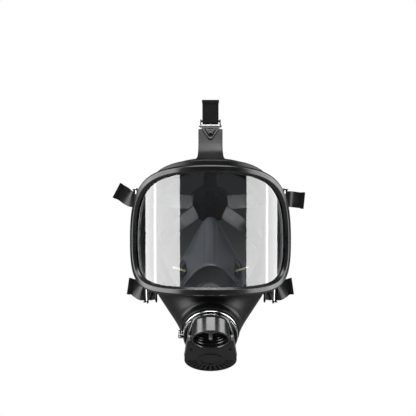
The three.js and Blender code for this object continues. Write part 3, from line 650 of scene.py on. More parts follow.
def at_lug(side, height):
    """Moves a piece from its own axis to the frame's joint on one side."""
    which = OUTLINE_STEPS if side > 0 else len(EDGE) - OUTLINE_STEPS
    place = bent(LUG_INSET, LUG_PROUD)[which]
    turn = Matrix.Rotation(EDGE[which, 0] / VISOR_RADIUS, 4, "Z")
    return shift(place[0], place[1], FRAME_JOINT_Z + height) @ turn


def make_frame_half(word, first, lift):
    which = [(first + k) % len(EDGE) for k in range(2 * OUTLINE_STEPS + 1)]
    section = eased(FRAME_SECTION, 0.9)
    rings = np.stack([bent(inset, proud)[which] for inset, proud in section], axis=1)
    rings[0, :, 2] += lift * GAP
    rings[-1, :, 2] += lift * GAP
    body = loft(rings)
    places = [at_lug(side, lift * (GAP + LUG_HEIGHT / 2)) for side in (1, -1)]
    lugs = [bevelled(moved(block(LUG_WIDTH, LUG_DEPTH, LUG_HEIGHT), place), 1.1, 3) for place in places]
    holes = [moved(rod(1.6, -20, 20), place) for place in places]
    body = cut(join(body, *lugs), *holes)
    piece(f"frame_{word}", body, "frame_plastic", [f"visor_frame_{word}"])


def make_frame_screws():
    reach = LUG_HEIGHT + GAP
    for side, word in SIDES:
        head = reach + GAP
        profile = [
            (0, -reach - 3), (0.9, -reach - 3), (1.3, -reach - 2.6), (1.3, head), (2.6, head),
            (2.6, head + 1.1), (2.2, head + 1.9), (1.2, head + 2.2), (0, head + 2.2),
        ]
        slot = block(7, 0.7, 1.6, 0, 0, head + 2.2)
        screw = moved(cut(small_part(profile), slot), at_lug(side, 0))
        nut = moved(bevelled(band(1.6, 3, -2.2, 0, sides=6), 0.3), at_lug(side, -head))
        piece(f"frame_bolt_{word}", screw, "fastener_steel", [f"frame_screw_{word}"])
        piece(f"frame_hex_nut_{word}", nut, "fastener_steel", [f"frame_nut_{word}"])


# ---- Facepiece ----

def port_place(centre, tilt):
    """Local +Z points forwards and down by the tilt, local +X to the wearer's left."""
    return shift(*centre) @ spin(90 + tilt, "X")


NECK = port_place(NECK_CENTRE, NECK_TILT)
OUTLET = port_place(OUTLET_CENTRE, OUTLET_TILT)
VALVE = OUTLET @ shift(y=-VALVE_OFFSET)


def seal_ring(curves):
    return quarters(bezier(curves[0], OUTLINE_STEPS), bezier(curves[1], OUTLINE_STEPS))


def inward(points, amount, forward):
    """Points moved towards the middle of the face, and forwards."""
    run = unit(points[:, [0, 2]] + (0, 10))
    ahead = np.full(len(points), -forward)
    return points + np.stack([-run[:, 0] * amount, ahead, -run[:, 1] * amount], axis=1)


CHIN_STATIONS = (   # y, z, half width, half depth and slope in degrees, down to the port collar
    (-80, -68, 76, 37, 74), (-84, -92, 66, 36, 72), (-90, -111, 53, 34, 58), (-99, -124, 42, 34, 42),
    (-106.5, -132.6, 36, 35.5, NECK_TILT), (*NECK_CENTRE[1:], COLLAR_RADIUS, COLLAR_RADIUS, NECK_TILT),
)


def chin_rings(inset):
    angles = np.linspace(0, 2 * math.pi, ROUND, endpoint=False)
    rings = []
    for y, z, width, depth, slope in through(CHIN_STATIONS, 4):
        across = (width - inset) * np.sin(angles)
        deep = (depth - inset) * np.cos(angles)
        tilt = math.radians(slope)
        rings.append(np.stack([across, y - deep * math.sin(tilt), z + deep * math.cos(tilt)], axis=1))
    return rings


def facepiece_body():
    flare = -0.5 - RIM_FLARE * UPNESS
    flange = FRAME_LIP + 5 * UPNESS
    seal_outer, seal_inner = seal_ring(SEAL_OUTER), seal_ring(SEAL_INNER)
    outside = loft([
        bent(FRAME_LEG + 0.5, -VISOR_THICKNESS - 0.5), bent(FRAME_LEG + 0.5, FRAME_BACK - 0.6),
        bent(flare, FRAME_BACK - 1.2), bent(flare - 0.9, FRAME_BACK - 2.4), bent(flare - 0.9, FRAME_BACK - 5),
        seal_outer, seal_inner,
    ])
    inside = loft([
        bent(flange, 15), bent(flange, -6.4), bent(7.3, -6.8), bent(7.3, FRAME_BACK - 1.6),
        bent(flare + RUBBER + 1, FRAME_BACK - 4),
        inward(seal_outer, RUBBER + 0.5, 5), inward(seal_inner, 0.5, 3), inward(seal_inner, 0.5, -45),
    ])
    neck_tube = moved(disc(NECK_RADIUS, -6, NECK_LENGTH), NECK)
    neck_lip = moved(disc(NECK_RADIUS + 0.9, BAND_END + GAP, NECK_LENGTH), NECK)
    bore = moved(disc(NECK_RADIUS - RUBBER, -14, NECK_LENGTH + 5), NECK)
    clearing = (
        (-0.4, FRAME_BACK - 0.4), (FRAME_LEG + 0.4, FRAME_BACK - 0.4),
        (FRAME_LEG + 0.4, -VISOR_THICKNESS - 0.4), (40, -VISOR_THICKNESS - 0.4), (40, 12), (-0.4, 12),
    )
    frame_space = loft(np.stack([bent(inset, proud) for inset, proud in clearing], axis=1), looped=True)
    chin = cut(join(loft(chin_rings(0)), neck_tube, neck_lip), frame_space)
    tabs = [tab_body(spec) for spec in buckles]
    shell = join(outside, chin, *tabs)
    return cut(shell, inside, loft(chin_rings(RUBBER)), bore)


def make_facepiece():
    body = moulded(facepiece_body(), voxel=0.9, rounds=5)
    piece("facepiece_rubber", body, "rubber", ["facepiece_body"], sharp=70)


# ---- Buckles ----

def buckle_spec(name):
    kind, _, side = name.partition("_")
    spec = dict(BUCKLES[kind], name=name, kind=kind, side=side)
    if side == "right":
        spec.update({key: (-spec[key][0], *spec[key][1:]) for key in ("pin", "run", "out", "foot")})
    if name == "temple_right":
        spec["rise"] = RISE_OF_RIGHT_TEMPLE
    run = Vector(spec["run"]).normalized()
    across = run.cross(Vector(spec["out"])).normalized()
    out = across.cross(run)
    axes = Matrix((across, run, out)).transposed().to_4x4()
    spec["place"] = shift(*spec["pin"]) @ axes
    return spec


buckles = [buckle_spec(name) for name in BUCKLE_NAMES]


def tab_body(spec):
    """The rubber tab from the mask's side to just short of the pin."""
    start = spec["place"].inverted() @ Vector(spec["foot"])
    flat = -TAB_THICKNESS / 2 - 1.2
    stations = through([
        (start.y, start.z, spec["tab"] + 10), (start.y * 0.84, start.z * 0.6 + flat * 0.4, spec["tab"] + 3),
        (start.y * 0.6, flat, spec["tab"]), (-3.5, flat, spec["tab"]),
    ], 6)
    rings = []
    for y, z, width in stations:
        rings.append([(x, y, z + up) for x, up in rectangle(width / 2, TAB_THICKNESS / 2)])
    return cut(moved(loft(rings), spec["place"]), rivet_hole(spec["place"]))


def rivet_hole(place):
    return moved(rod(RIVET_HOLE, -10, 10), place @ shift(y=RIVET_Y))


def strap(points, acrosses, width, thickness, ribs=None):
    """A strap along points, acrosses giving its width direction. ribs gives the extra thickness of the
    outer face at each distance along it."""
    points = np.asarray(points, float)
    along = unit(np.gradient(points, axis=0))
    up = unit(np.cross(acrosses, along))
    across = np.cross(along, up)
    lengths = distances(points)
    extra = np.zeros(len(points)) if ribs is None else ribs(lengths, lengths[-1])
    half = width / 2
    rings = []
    for i, point in enumerate(points):
        ring = []
        for x, z in eased(rectangle(half, thickness / 2), 0.6):
            proud = extra[i] if z > 0 and abs(x) < half - 0.9 else 0
            ring.append(point + across[i] * x + up[i] * (z + proud))
        rings.append(ring)
    return loft(rings)


def dense(points, spacing=0.7):
    """The same line with evenly spaced points."""
    points = np.asarray(points, float)
    lengths = distances(points)
    stations = np.linspace(0, lengths[-1], max(4, int(lengths[-1] / spacing)))
    return np.stack([np.interp(stations, lengths, points[:, axis]) for axis in range(3)], axis=1)


def ribbed(start, end, height=0.5, pitch=3.2):
    """Ribs across a strap, from start after its first point to end before its last."""
    def extra(lengths, total):
        inside = (lengths > start) & (lengths < total - end)
        wave = 0.5 - 0.5 * np.cos(2 * math.pi * lengths / pitch)
        return np.where(inside, height * np.clip(1.6 * wave, 0, 1), 0)
    return extra


def trapezium(height, wide, near, narrow, far):
    """A four-sided outline that narrows away from the hinge, from its half widths."""
    return [(-wide, near, height), (wide, near, height), (narrow, far, height), (-narrow, far, height)]


def make_buckle(spec):
    name, place = spec["name"], spec["place"]
    hole = PIN_RADIUS + GAP

    half = PLATE_HALF
    sheet = [(-half, 0.4), (-half, -4), *arc(0, -15, 3.2, 200, 340, 12), (half, -4), (half, 0.4)]
    flat = bevelled(plate(sheet, -0.9, 0.5), 0.25)
    facets = hull(trapezium(0.45, 9.4, -3.2, 2.4, -15.8) + trapezium(1.35, 6.4, -4.6, 1.6, -13.4))
    hollow = hull(trapezium(2, 4.6, -4.2, 3.2, -8.4) + trapezium(0.6, 3.4, -5, 2.2, -7.8))
    boss = moved(rod(1.1, 0.4, 1.5), shift(y=-6.3))
    knuckle = along_x(rod(hole + KNUCKLE_WALL, -half + 0.5, half - 0.5))
    tools = [along_x(rod(hole, -30, 30)), rivet_hole(shift())]
    knuckle = cut(knuckle, block(2 * half + 2, 6, 5, 0, 0, 2.7))
    body = cut(join(cut(join(flat, facets), hollow), boss, knuckle), *tools)
    body = moved(bevelled(body, 0.12), place)
    piece(f"buckle_triangle_{name}", body, "buckle_black", [f"buckle_plate_{name}"])

    profile = [(0, 0), (1.6, 0), (1.6, 2.5), (2.9, 2.5), (2.8, 3.2), (1.9, 3.8), (0, 4.0)]
    rivet = small_part(profile, 0.3)
    moved(rivet, place @ shift(y=RIVET_Y, z=-1.1))
    piece(f"rivet_{name}", rivet, "buckle_black", [f"buckle_rivet_{name}"])

    end = PIN_LENGTH / 2
    profile = [
        (0, -end), (1.9, -end), (1.9, 1.1 - end), (PIN_RADIUS, 1.3 - end),
        (PIN_RADIUS, end - 1.3), (1.9, end - 1.1), (1.9, end), (0, end),
    ]
    pin = along_x(small_part(profile, 0.4))
    piece(f"hinge_pin_{name}", moved(pin, place), "buckle_steel", [f"buckle_pin_{name}"])

    cheek_x = PLATE_HALF + GAP + 0.65
    cheeks = [
        bevelled(block(1.4, BAR_OFFSET + 4.4, 3.8, side * cheek_x, BAR_OFFSET / 2 - 0.2, 0.2), 0.5, 3)
        for side in (1, -1)
    ]
    bar = along_x(rod(BAR_RADIUS, -cheek_x - 0.2, cheek_x + 0.2))
    moved(bar, shift(y=BAR_OFFSET, z=0.4))
    lever = cut(join(cheeks[0], bar, cheeks[1]), along_x(rod(hole, -30, 30)))
    moved(lever, place)
    piece(f"lever_frame_{name}", lever, "buckle_black", [f"buckle_lever_{name}"], body=f"lever_{name}")


def tail_route(spec):
    """The free end of the strap, in the buckle's own frame."""
    across = (spec["place"].to_3x3() @ Vector((1, 0, 0))).z
    upwards = 1 if across > -1e-6 else -1
    reach = spec["tail"][-1][1]
    drift_start = 6
    route = []
    for y, z in spec["tail"]:
        share = max(0, z - drift_start) / (reach - drift_start)
        route.append((upwards * spec["rise"] * share * (1 + spec["curl"] * (1 - share)), y, z))
    return route


def harness_route(spec):
    """From under the lever's bar, round the head to the pad: points and width directions."""
    place = spec["place"]
    flip = -1 if spec["side"] == "right" else 1
    start = [place @ Vector((0, BAR_OFFSET + y, z)) for y, z in ((-2.6, -3.3), (4, -3.4))]
    rest = np.array(HARNESS_ROUTES[spec["kind"]], float) * (flip, 1, 1)
    points = dense(through(np.vstack([start, rest]), 16), 0.9)
    first = np.array(place.to_3x3() @ Vector((1, 0, 0)))
    last = np.array((1, 0, 0)) if spec["kind"] == "top" else np.array((0, 0, 1 if first[2] > 0 else -1))
    share = np.clip(np.linspace(0, 1, len(points)) * 18 / 8, 0, 1)[:, None]
    return points, first * (1 - share) + last * share


def make_strap(spec):
    name, place = spec["name"], spec["place"]
    points, acrosses = harness_route(spec)
    body = strap(points, acrosses, STRAP_WIDTH - 0.6, STRAP_THICKNESS, ribbed(start=14, end=46))
    piece(f"harness_strap_{name}", body, "strap_rubber", ["head_harness"])

    first = np.array([(1.0, 0, 0)])
    low, gap_y = -3.3, (PIN_RADIUS + GAP + KNUCKLE_WALL + BAR_OFFSET - BAR_RADIUS) / 2
    tail = tail_route(spec)
    loop_points = through([
        (0, BAR_OFFSET - 1.4, low), (0, gap_y + 0.1, low + 1.4), (0, gap_y, 0), (0, gap_y + 0.15, 2.2),
        tail[0],
    ], 10)
    loop = strap(dense(loop_points, 0.4), first, STRAP_WIDTH - 0.8, STRAP_THICKNESS - 0.1)
    moved(loop, place)
    finished(f"strap_loop_{name}", loop, "strap_rubber", 40)
    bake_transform(loop)

    along = through([loop_points[-6], *tail], 12)
    free_end = strap(dense(along), first, STRAP_WIDTH, STRAP_THICKNESS, ribbed(start=7, end=6))
    end = along[-1]
    ahead = (along[-1] - along[-8]) / np.linalg.norm(along[-1] - along[-8])
    hem_points = [end + ahead * step for step in np.linspace(-3.4, 0.6, 9)]
    hem = strap(hem_points, first, STRAP_WIDTH + 1, STRAP_THICKNESS + 1.4)
    body = moved(join(free_end, hem), place)
    piece(f"strap_end_{name}", body, "strap_rubber", [f"strap_tail_{name}"], body=f"lever_{name}")


def on_pad(angle, height, z):
    """A point at an angle round the head and some height above the pad's inner face."""
    radius = PAD_RADIUS + height
    return (radius * math.sin(angle), PAD_Y - PAD_RADIUS - PAD_THICKNESS + radius * math.cos(angle), z)


def make_pad():
    """The moulded pad behind the head: an oval plate with a raised rim and three ribs."""
    sides = 72
    rings = []
    layers = [(1.0, 0.0), (1.0, 2.4), (0.985, 3.0), (0.93, 3.0), (0.905, 2.0), (0.5, 2.0)]
    for share, height in layers:
        ring = []
        for turn in np.linspace(0, 2 * math.pi, sides, endpoint=False):
            angle = PAD_HALF_WIDTH * share * math.cos(turn) / PAD_RADIUS
            ring.append(on_pad(angle, height, PAD_Z + PAD_HALF_HEIGHT * share * math.sin(turn)))
        rings.append(ring)
    body = loft(rings)
    ribs = []
    for level in (-9, 0, 9):
        middle = [on_pad(angle, 2.2, PAD_Z + level) for angle in np.linspace(-0.21, 0.21, 24)]
        ribs.append(strap(middle, np.array([(0, 0, 1.0)]), 3.0, 1.4))
    piece("harness_pad", join(body, *ribs), "strap_rubber", ["head_harness"])


# ---- Nose cup ----

def cup_half_width(z):
    return 3.5 + 1.05 * (CUP_TOP - z) if z > -6 else min(39, 6.8 - 0.56 * z)


def cup_front(z):
    return -108 - 0.33 * min(-z, 58) + 0.25 * max(0, -z - 70)


def cup_back(z):
    return min(-78, -104 - 0.4 * z)


def ridge(x, z):
    """How far the nose ridge stands out of the cup's front, with a crease on each side of it."""
    if not -56 < z < 1:
        return 0
    fade = min(1, (z + 56) / 6, (1 - z) / 6)
    return fade * (0.3 * math.exp(-(x / 4.8) ** 6) - 0.6 * math.exp(-((abs(x) - 5.8) / 1.1) ** 2))


def cup_sections(inset, top, bottom, back_reach, ridged=False):
    levels, steps = 60, 120
    rings = []
    for z in np.linspace(top, bottom, levels + 1):
        width = cup_half_width(z) - inset
        front, back = cup_front(z) + inset, cup_back(z)
        ring = []
        for angle in np.linspace(-math.pi / 2, math.pi / 2, steps + 1):
            x = width * math.sin(angle)
            y = back + (front - back) * max(0, math.cos(angle)) ** 0.85
            ring.append((x, y - (ridge(x, z) if ridged else 0), z))
        rings.append([*ring, (width, back + back_reach, z), (-width, back + back_reach, z)])
    return rings


def arch_shape(grow):
    """The arch over the recessed panel: a parabola closed below."""
    reach = ARCH_REACH + grow
    curve = []
    for x in np.linspace(-reach, reach, 41):
        curve.append((x, ARCH_TOP + grow - ARCH_DROP * x * x / (ARCH_REACH * ARCH_REACH)))
    return [*curve, (reach, -120), (-reach, -120)]


def towards_front(shape, low, high):
    """An outline in x and z thickened from y = low, in front, to y = high."""
    return moved(plate(shape, 0, high - low), shift(y=high) @ spin(90, "X"))


def cheek_place(side):
    """Local +Z is the pin's direction: outwards, forwards and up."""
    lift, turn = math.radians(CHEEK_VALVE_LIFT), math.radians(CHEEK_VALVE_TURN)
    out = Vector((side * math.cos(lift) * math.cos(turn), -math.cos(lift) * math.sin(turn), math.sin(lift)))
    x, y, z = CHEEK_VALVE_PLACE
    turned_out = Vector((0, 0, 1)).rotation_difference(out).to_matrix().to_4x4()
    return shift(side * x, y, z) @ turned_out


def make_nose_cup():
    cheeks = [cheek_place(side) for side in (1, -1)]
    collar_place = shift(0, CUP_PANEL_Y + CUP_WALL, CUP_PORT_Z) @ spin(90, "X")
    outside = loft(cup_sections(0, CUP_TOP, CUP_FLOOR, 0.5, ridged=True))
    arch = towards_front(arch_shape(0), -170, CUP_PANEL_Y)
    arch_core = towards_front(arch_shape(CUP_WALL), -170, CUP_PANEL_Y + CUP_WALL)
    lips = []
    for reach, height in ((1.3, 1.7), (2.6, 0.9)):
        outer = towards_front(arch_shape(reach), -170, CUP_PANEL_Y - 2)
        step = cut(outer, towards_front(arch_shape(0), -180, CUP_PANEL_Y))
        limit = loft(cup_sections(-height, CUP_TOP, CUP_FLOOR, 0.5))
        lips.append(combined(step, [limit], "INTERSECT"))
    inside = cut(loft(cup_sections(CUP_WALL, CUP_TOP - 3.5, CUP_FLOOR + CUP_WALL, 30)), arch_core)
    collar = moved(disc(19, 0, 6), collar_place)
    bore = moved(disc(16, -30, 11), collar_place)
    bosses = [moved(disc(CHEEK_SEAT + 2.5, -8, 0.6), cheek) for cheek in cheeks]
    pockets = [moved(disc(CHEEK_SEAT + GAP, -5.7, 20), cheek) for cheek in cheeks]
    pin_holes = [moved(disc(2.7, -12, 0), cheek) for cheek in cheeks]
    shell = join(cut(outside, arch), collar, *lips, *bosses)
    shell = largest(cut(shell, inside, bore, *pockets, *pin_holes))
    piece("nose_cup_rubber", moulded(shell, voxel=0.6, rounds=3), "cup_rubber", ["nose_cup"], sharp=70)
    for (_, word), cheek in zip(SIDES, cheeks):
        make_cheek_valve(word, cheek)


def largest(shape):
    """The shape without the loose bits that a cut has left."""
    work = bmesh.new()
    work.from_mesh(shape.data)
    left = set(work.verts)
    islands = []
    while left:
        island, edge = set(), [left.pop()]
        while edge:
            vert = edge.pop()
            island.add(vert)
            near = {e.other_vert(vert) for e in vert.link_edges} & left
            left -= near
            edge.extend(near)
        islands.append(island)
    islands.sort(key=len)
    spare = [vert for island in islands[:-1] for vert in island]
    bmesh.ops.delete(work, geom=spare, context="VERTS")
    work.to_mesh(shape.data)
    work.free()
    return shape


def make_cheek_valve(word, place):
    hub = rod(3, -2, -0.4)
    bars = spokes(2 * CHEEK_SEAT - 3, 1.6, 1.6, -1.2, (0, 60, 120))
    rim = band(CHEEK_SEAT - 2.6, CHEEK_SEAT, -2.2, 0, 0.4)
    inner = CHEEK_PIN + GAP
    seat = cut(join(rim, hub, *bars), rod(inner, -5, 5))
    moved(bevelled(seat, 0.15), place)
    piece(f"cheek_seat_{word}", seat, "valve_plastic", [f"cheek_valve_seat_{word}"])

    flap = moved(turned_ring([
        (inner, -3.3), (5, -3.5), (CHEEK_DISC, -3.1), (CHEEK_DISC, -2.7), (5, -2.7), (2.4, -2.4),
        (inner, -2.4),
    ]), place)
    piece(f"cheek_flap_disc_{word}", flap, "valve_silicone", [f"cheek_valve_disc_{word}"],
          body=f"cheek_flap_{word}")

    pin = [(0, -7), (2.0, -7), (2.2, -6.8), (2.2, -6.2), (CHEEK_PIN, -6.0), (CHEEK_PIN, 13), (1.35, 13.3),
           (1.35, 14.6), (CHEEK_PIN, 14.9), (0.7, 16), (0, 16)]
    piece(f"cheek_pin_{word}", moved(small_part(pin), place), "brass", [f"cheek_valve_pin_{word}"])


# ---- Port housing, connector and valves ----

def tongue_outline(grow, top=0, steps=60):
    """Seen from outside: straight sides that run into the valve's round end."""
    wide = TONGUE_HALF_WIDTH + grow
    return [(-wide, top), *arc(0, -GRILLE_OFFSET, GRILLE_RADIUS + grow, 178, 362, steps), (wide, top)]


def circle(radius, height, place, centre_y=0):
    angles = np.linspace(0, 2 * math.pi, ROUND, endpoint=False)
    return [place @ Vector((radius * math.cos(a), centre_y + radius * math.sin(a), height)) for a in angles]


def at_cover_screw(side):
    return shift(side * COVER_SCREW_PLACE[0], COVER_SCREW_PLACE[1])


def make_port_housing():
    spigot_radius = NECK_RADIUS - RUBBER - GAP
    base = -CONNECTOR_DEPTH - 2.5
    spigot = moved(disc(spigot_radius, -5, NECK_LENGTH + 1), NECK)
    tongue = [OUTLET @ Vector((x, y, TONGUE_BACK)) for x, y in tongue_outline(0)]
    elbow = hull([
        *circle(spigot_radius + 0.6, NECK_LENGTH + GAP, NECK),
        *circle(spigot_radius + 0.6, NECK_LENGTH + 2, NECK),
        *circle(24.5, base, OUTLET), *tongue,
    ])
    rim = moved(plate(tongue_outline(0), TONGUE_BACK - 0.4, -COVER_THICKNESS - GAP), OUTLET)
    bead = moved(plate(tongue_outline(0.5), TONGUE_BACK + 0.6, TONGUE_BACK + 2.2), OUTLET)
    duct = moved(disc(24, -20, 9), NECK)
    airway = hull([
        *circle(24, 8.5, NECK), *circle(15, base - 0.8, OUTLET),
        *circle(12.5, VALVE_FLOOR + 1, OUTLET, -VALVE_OFFSET),
    ])
    tools = [
        moved(disc(CONNECTOR_RADIUS + GAP, -CONNECTOR_DEPTH - GAP, 20), OUTLET),
        moved(disc(15, base - 2, 0), OUTLET),
        duct, airway,
        moved(disc(VALVE_CHAMBER, VALVE_FLOOR, 5), VALVE),
        *[moved(rod(1.4, -9, 5), OUTLET @ at_cover_screw(side)) for side in (1, -1)],
    ]
    body = largest(cut(join(spigot, elbow, rim, bead), *tools))
    piece("housing_elbow", moulded(body, voxel=0.55, rounds=3), "housing_plastic", ["port_housing"], sharp=60)


def make_connector():
    """The threaded socket for a filter, with the inhalation valve at its foot."""
    floor, pitch, depth, rim_clear, run_out = -16, 3.6, 0.65, 1.2, 1.5

    def thread(radius, height, turn):
        """A round-topped thread on the bore alone, running out at both ends."""
        if radius > CONNECTOR_BORE + 0.3 or not floor + 3 < height < -rim_clear:
            return radius
        fade = min(1, (height - floor - 3) / run_out, (-rim_clear - height) / run_out)
        return radius + fade * depth * (0.5 - 0.5 * math.cos(2 * math.pi * (height / pitch + turn)))

    inner = [(CONNECTOR_BORE, height) for height in np.arange(floor + 2.8, -0.8, 0.3)]
    outer = eased([
        (CONNECTOR_RADIUS - 0.7, 0), (CONNECTOR_RADIUS, -0.8), (CONNECTOR_RADIUS, -CONNECTOR_DEPTH),
    ], 0.5, closed=False)
    socket = turned_ring([
        (CONNECTOR_BORE + 0.5, 0), *outer, (14.6, -CONNECTOR_DEPTH), (14.6, floor), (CONNECTOR_BORE, floor),
        *inner,
    ], 144, thread)
    piece("connector_socket", moved(socket, OUTLET), "housing_plastic", ["filter_connector"], sharp=50)

    gasket = band(15.4, CONNECTOR_BORE - GAP, floor + GAP, floor + 2.4, 0.7)
    piece("socket_gasket", moved(gasket, OUTLET), "rubber", ["connector_gasket"])

    rim = band(11.6, 14.2, floor - 2, floor + 0.4, 0.4)
    bars = spokes(24.4, 1.8, 1.8, floor - 1.2, (0, 90))
    post = small_part([
        (0, floor - 7), (1, floor - 7), (1, floor - 2), (2.1, floor - 2), (2.1, -2), (1.4, -1), (0, -1),
    ], 0.3)
    seat = bevelled(join(rim, *bars, post), 0.15)
    piece("inhalation_spider", moved(seat, OUTLET), "seat_plastic", ["inhalation_valve_seat"])

    flap = moved(turned_ring([
        (1.4, floor - 3.3), (13.4, floor - 3.1), (13.4, floor - 2.6), (3, floor - 2.5), (1.4, floor - 2.4),
    ]), OUTLET)
    piece("inhalation_flap_disc", flap, "rubber", ["inhalation_valve_disc"], body="inhalation_flap")


def make_exhalation_valve():
    low = VALVE_FLOOR + GAP
    edge = VALVE_CHAMBER - GAP
    rim = eased([
        (12.5, low), (edge, low), (edge, low + 1.2), (14.4, low + 1.2), (13.8, low + 1.8), (12.5, low + 1.8),
    ], 0.25)
    seat = join(turned_ring(rim), *spokes(26, 2, 1.2, low + 0.6, (0, 90)))
    moved(bevelled(seat, 0.15), VALVE)
    piece("exhalation_seat_ring", seat, "valve_plastic", ["exhalation_valve_seat"])

    rest = low + 1.8 + GAP
    profile = [(0, rest), (VALVE_DISC - 0.4, rest), (VALVE_DISC, rest + 0.3), (VALVE_DISC - 0.3, rest + 0.7),
               (6, rest + 0.8), (3.7, rest + 0.9), (3.2, rest + 1.5), (0, rest + 1.5)]
    piece("exhalation_flap_disc", moved(turned(profile), VALVE), "rubber", ["exhalation_valve_disc"],
          body="exhalation_flap")


def make_cover():
    grille = shift(y=-GRILLE_OFFSET)
    first, fan = 184, 172
    slots = []
    for k in range(COVER_SLOTS):
        slot = bevelled(block(11, 2.1, 20), 0.9, 4, angle=80)
        turn = spin(first + fan * (k + 0.5) / COVER_SLOTS)
        slots.append(moved(slot, grille @ turn @ shift(22.6)))
    boss = moved(disc(BOSS_RADIUS, -1, 0.7), grille)
    dish = moved(disc(BOSS_RADIUS - 2.2, 0.15, 5), grille)
    lip = cut(plate(tongue_outline(0), -1, 0.5), plate(tongue_outline(-1.3, top=4), -3, 3))
    holes = [moved(rod(1.4, -9, 9), at_cover_screw(side)) for side in (1, -1)]
    body = cut(join(plate(tongue_outline(0), -COVER_THICKNESS, 0), boss, lip), dish,
               disc(CONNECTOR_RADIUS + 2 * GAP, -9, 9), *slots, *holes)
    cover = bevelled(largest(body), 0.22)
    piece("grille_cover", moved(cover, OUTLET), "cover_plastic", ["exhalation_cover"], sharp=35)

    for side, word in SIDES:
        profile = [
            (0, -8.5), (1.1, -8.5), (1.1, GAP), (2.2, GAP), (2.2, 0.9), (1.9, 1.3), (1.1, 1.55), (0, 1.6),
        ]
        crosses = []
        for turn in (COVER_CROSS_TURN, COVER_CROSS_TURN + math.pi / 2):
            crosses.append(moved(block(2.9, 0.55, 1.6, 0, 0, 1.6), Matrix.Rotation(turn, 4, "Z")))
        screw = cut(small_part(profile), *crosses)
        moved(screw, OUTLET @ at_cover_screw(side))
        piece(f"cover_fixing_{word}", screw, "cover_plastic", [f"cover_screw_{word}"])


def make_clamp_band():
    inner = NECK_RADIUS + GAP
    outer, groove = BAND_RADIUS, BAND_RADIUS - 0.45
    mid = (BAND_START + BAND_END) / 2
    strip = turned_ring(eased([
        (inner, BAND_START), (outer, BAND_START), (outer, BAND_START + 1.3), (groove, BAND_START + 2),
        (groove, BAND_END - 2), (outer, BAND_END - 1.3), (outer, BAND_END), (inner, BAND_END),
    ], 0.35), 160)
    opening = block(8, 3, 40, -outer, 0, mid)
    ears = [bevelled(block(6.4, 1.6, 8, -outer - 2.6, side * 2.3, mid), 0.5, 3) for side in (1, -1)]
    across = shift(-outer - 3.3, 0, mid) @ spin(-90, "X")
    body = cut(join(cut(strip, opening), *ears), moved(rod(1.5, -20, 20), across))
    piece("neck_clamp", moved(body, NECK), "band_steel", ["clamp_band"])

    profile = [(0, -5.5), (1.0, -5.5), (1.2, -5.2), (1.2, 3.4), (2.4, 3.4), (2.4, 4.9), (2.0, 5.4), (0, 5.4)]
    screw = cut(small_part(profile), block(7, 0.8, 1.8, 0, 0, 5.4))
    piece("clamp_fixing", moved(screw, NECK @ across), "fastener_steel", ["clamp_screw"])


def make_spring():
    """The coil that closes the exhalation valve."""
    low, high = VALVE_FLOOR + 2 * GAP + 4, SPRING_TOP
    turn_steps, sides = 36, 12
    steps = SPRING_TURNS * turn_steps
    rings = []
    for k in range(steps + 1):
        angle = 2 * math.pi * k / turn_steps
        out = Vector((math.cos(angle), math.sin(angle), 0))
        middle = SPRING_RADIUS * out + Vector((0, 0, low + (high - low) * k / steps))
        ring = []
        for side in range(sides):
            a = 2 * math.pi * side / sides
            ring.append(middle + SPRING_WIRE * (out * math.cos(a) + Vector((0, 0, math.sin(a)))))
        rings.append(ring)
    coil = piece("closing_spring", moved(loft(rings), VALVE), "band_steel", ["exhalation_spring"])
    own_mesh(coil)


# ---- Stage, lights and camera ----

WHITE = {"Color": (1, 1, 1, 1), "Strength": 1}


def make_stage():
    floor = moved(block(40000, 40000, 10, 0, 0, -260), METRES)
    floor.name = "floor"
    material, tree, shader = new_material("floor_white", Base_Color=(0.18, 0.18, 0.18, 1), Roughness=0.7)
    white = add(tree, "Emission", WHITE)
    shown_to("Is Camera Ray", tree, shader, white, "Material Output")
    floor.data.materials.append(material)


def make_world():
    """White where the camera sees it, and a dim grey room for everything else."""
    world = bpy.data.worlds.new("studio")
    bpy.context.scene.world = world
    world.use_nodes = True
    room = world.node_tree.nodes["Background"]
    room.inputs["Color"].default_value = (0.95, 0.97, 1, 1)
    room.inputs["Strength"].default_value = 0.1
    white = add(world.node_tree, "Background", WHITE)
    shown_to("Is Camera Ray", world.node_tree, room, white, "World Output")


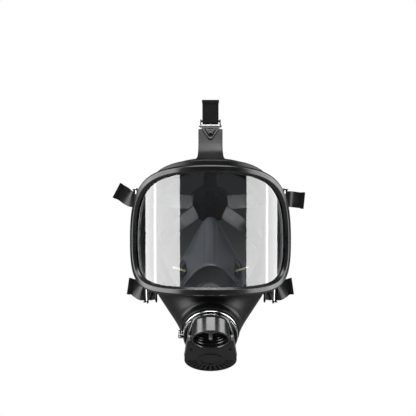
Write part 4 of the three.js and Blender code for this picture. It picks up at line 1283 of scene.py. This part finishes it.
def softbox(name, azimuth, elevation, distance, width, height, radiance):
    """A rectangular lamp. Azimuth 0 is straight in front of the mask and 90 on the wearer's left.
    A lamp at the side isn't seen through the visor, where it would hide the clear edge in a side view."""
    turn, lift = math.radians(azimuth), math.radians(elevation)
    direction = Vector((math.sin(turn) * math.cos(lift), -math.cos(turn) * math.cos(lift), math.sin(lift)))
    lamp = bpy.data.lights.new(name, "AREA")
    lamp.shape = "RECTANGLE"
    lamp.size = width
    lamp.size_y = height
    lamp.energy = radiance * math.pi * width * height
    holder = bpy.data.objects.new(name, lamp)
    holder.location = Vector(LAMP_AIM) + direction * distance
    holder.rotation_euler = direction.to_track_quat("Z", "Y").to_euler()
    holder.visible_camera = False
    holder.visible_transmission = abs(azimuth) < SIDE_LAMP
    bpy.context.scene.collection.objects.link(holder)


LAMPS = (   # name, azimuth, elevation, distance, width, height and radiance
    ("side_box_right", -70, 0, 1.0, 1.08, 1.7, 5.8),
    ("side_strip_right", -80, 0, 0.9, 0.07, 1.6, 3),
    ("side_box_left", 76, 0, 1.0, 1.0, 1.7, 5.4),
    ("side_strip_left", 82, 0, 0.9, 0.07, 1.6, 3),
    ("top_box", 0, 68, 1.3, 1.1, 0.7, 8),
    ("front_low_box", 0, -20, 1.6, 0.25, 0.6, 1.5),
)
LAMP_AIM = (0, -0.08, -0.02)
SIDE_LAMP = 60                   # a lamp further round than this isn't seen through the visor
CAMERA_PLACE = (-0.003, -1.365, 0.078)
CAMERA_PITCH = 87                # 90 looks level
CAMERA_ANGLE = 22.4


def make_camera():
    camera = bpy.data.cameras.new("camera")
    camera.sensor_fit = "HORIZONTAL"
    camera.angle = math.radians(CAMERA_ANGLE)
    holder = bpy.data.objects.new("camera", camera)
    holder.location = CAMERA_PLACE
    holder.rotation_euler = (math.radians(CAMERA_PITCH), 0, 0)
    bpy.context.scene.collection.objects.link(holder)
    bpy.context.scene.camera = holder
    bpy.context.scene.view_settings.view_transform = "Standard"


make_camera()
make_stage()
make_world()
for lamp in LAMPS:
    softbox(*lamp)
make_visor()
make_frame_half("upper", len(EDGE) - OUTLINE_STEPS, 1)
make_frame_half("lower", OUTLINE_STEPS, -1)
make_frame_screws()
make_facepiece()
make_nose_cup()
make_port_housing()
make_connector()
make_exhalation_valve()
make_cover()
make_clamp_band()
make_spring()
for spec in buckles:
    make_buckle(spec)
    make_strap(spec)
make_pad()
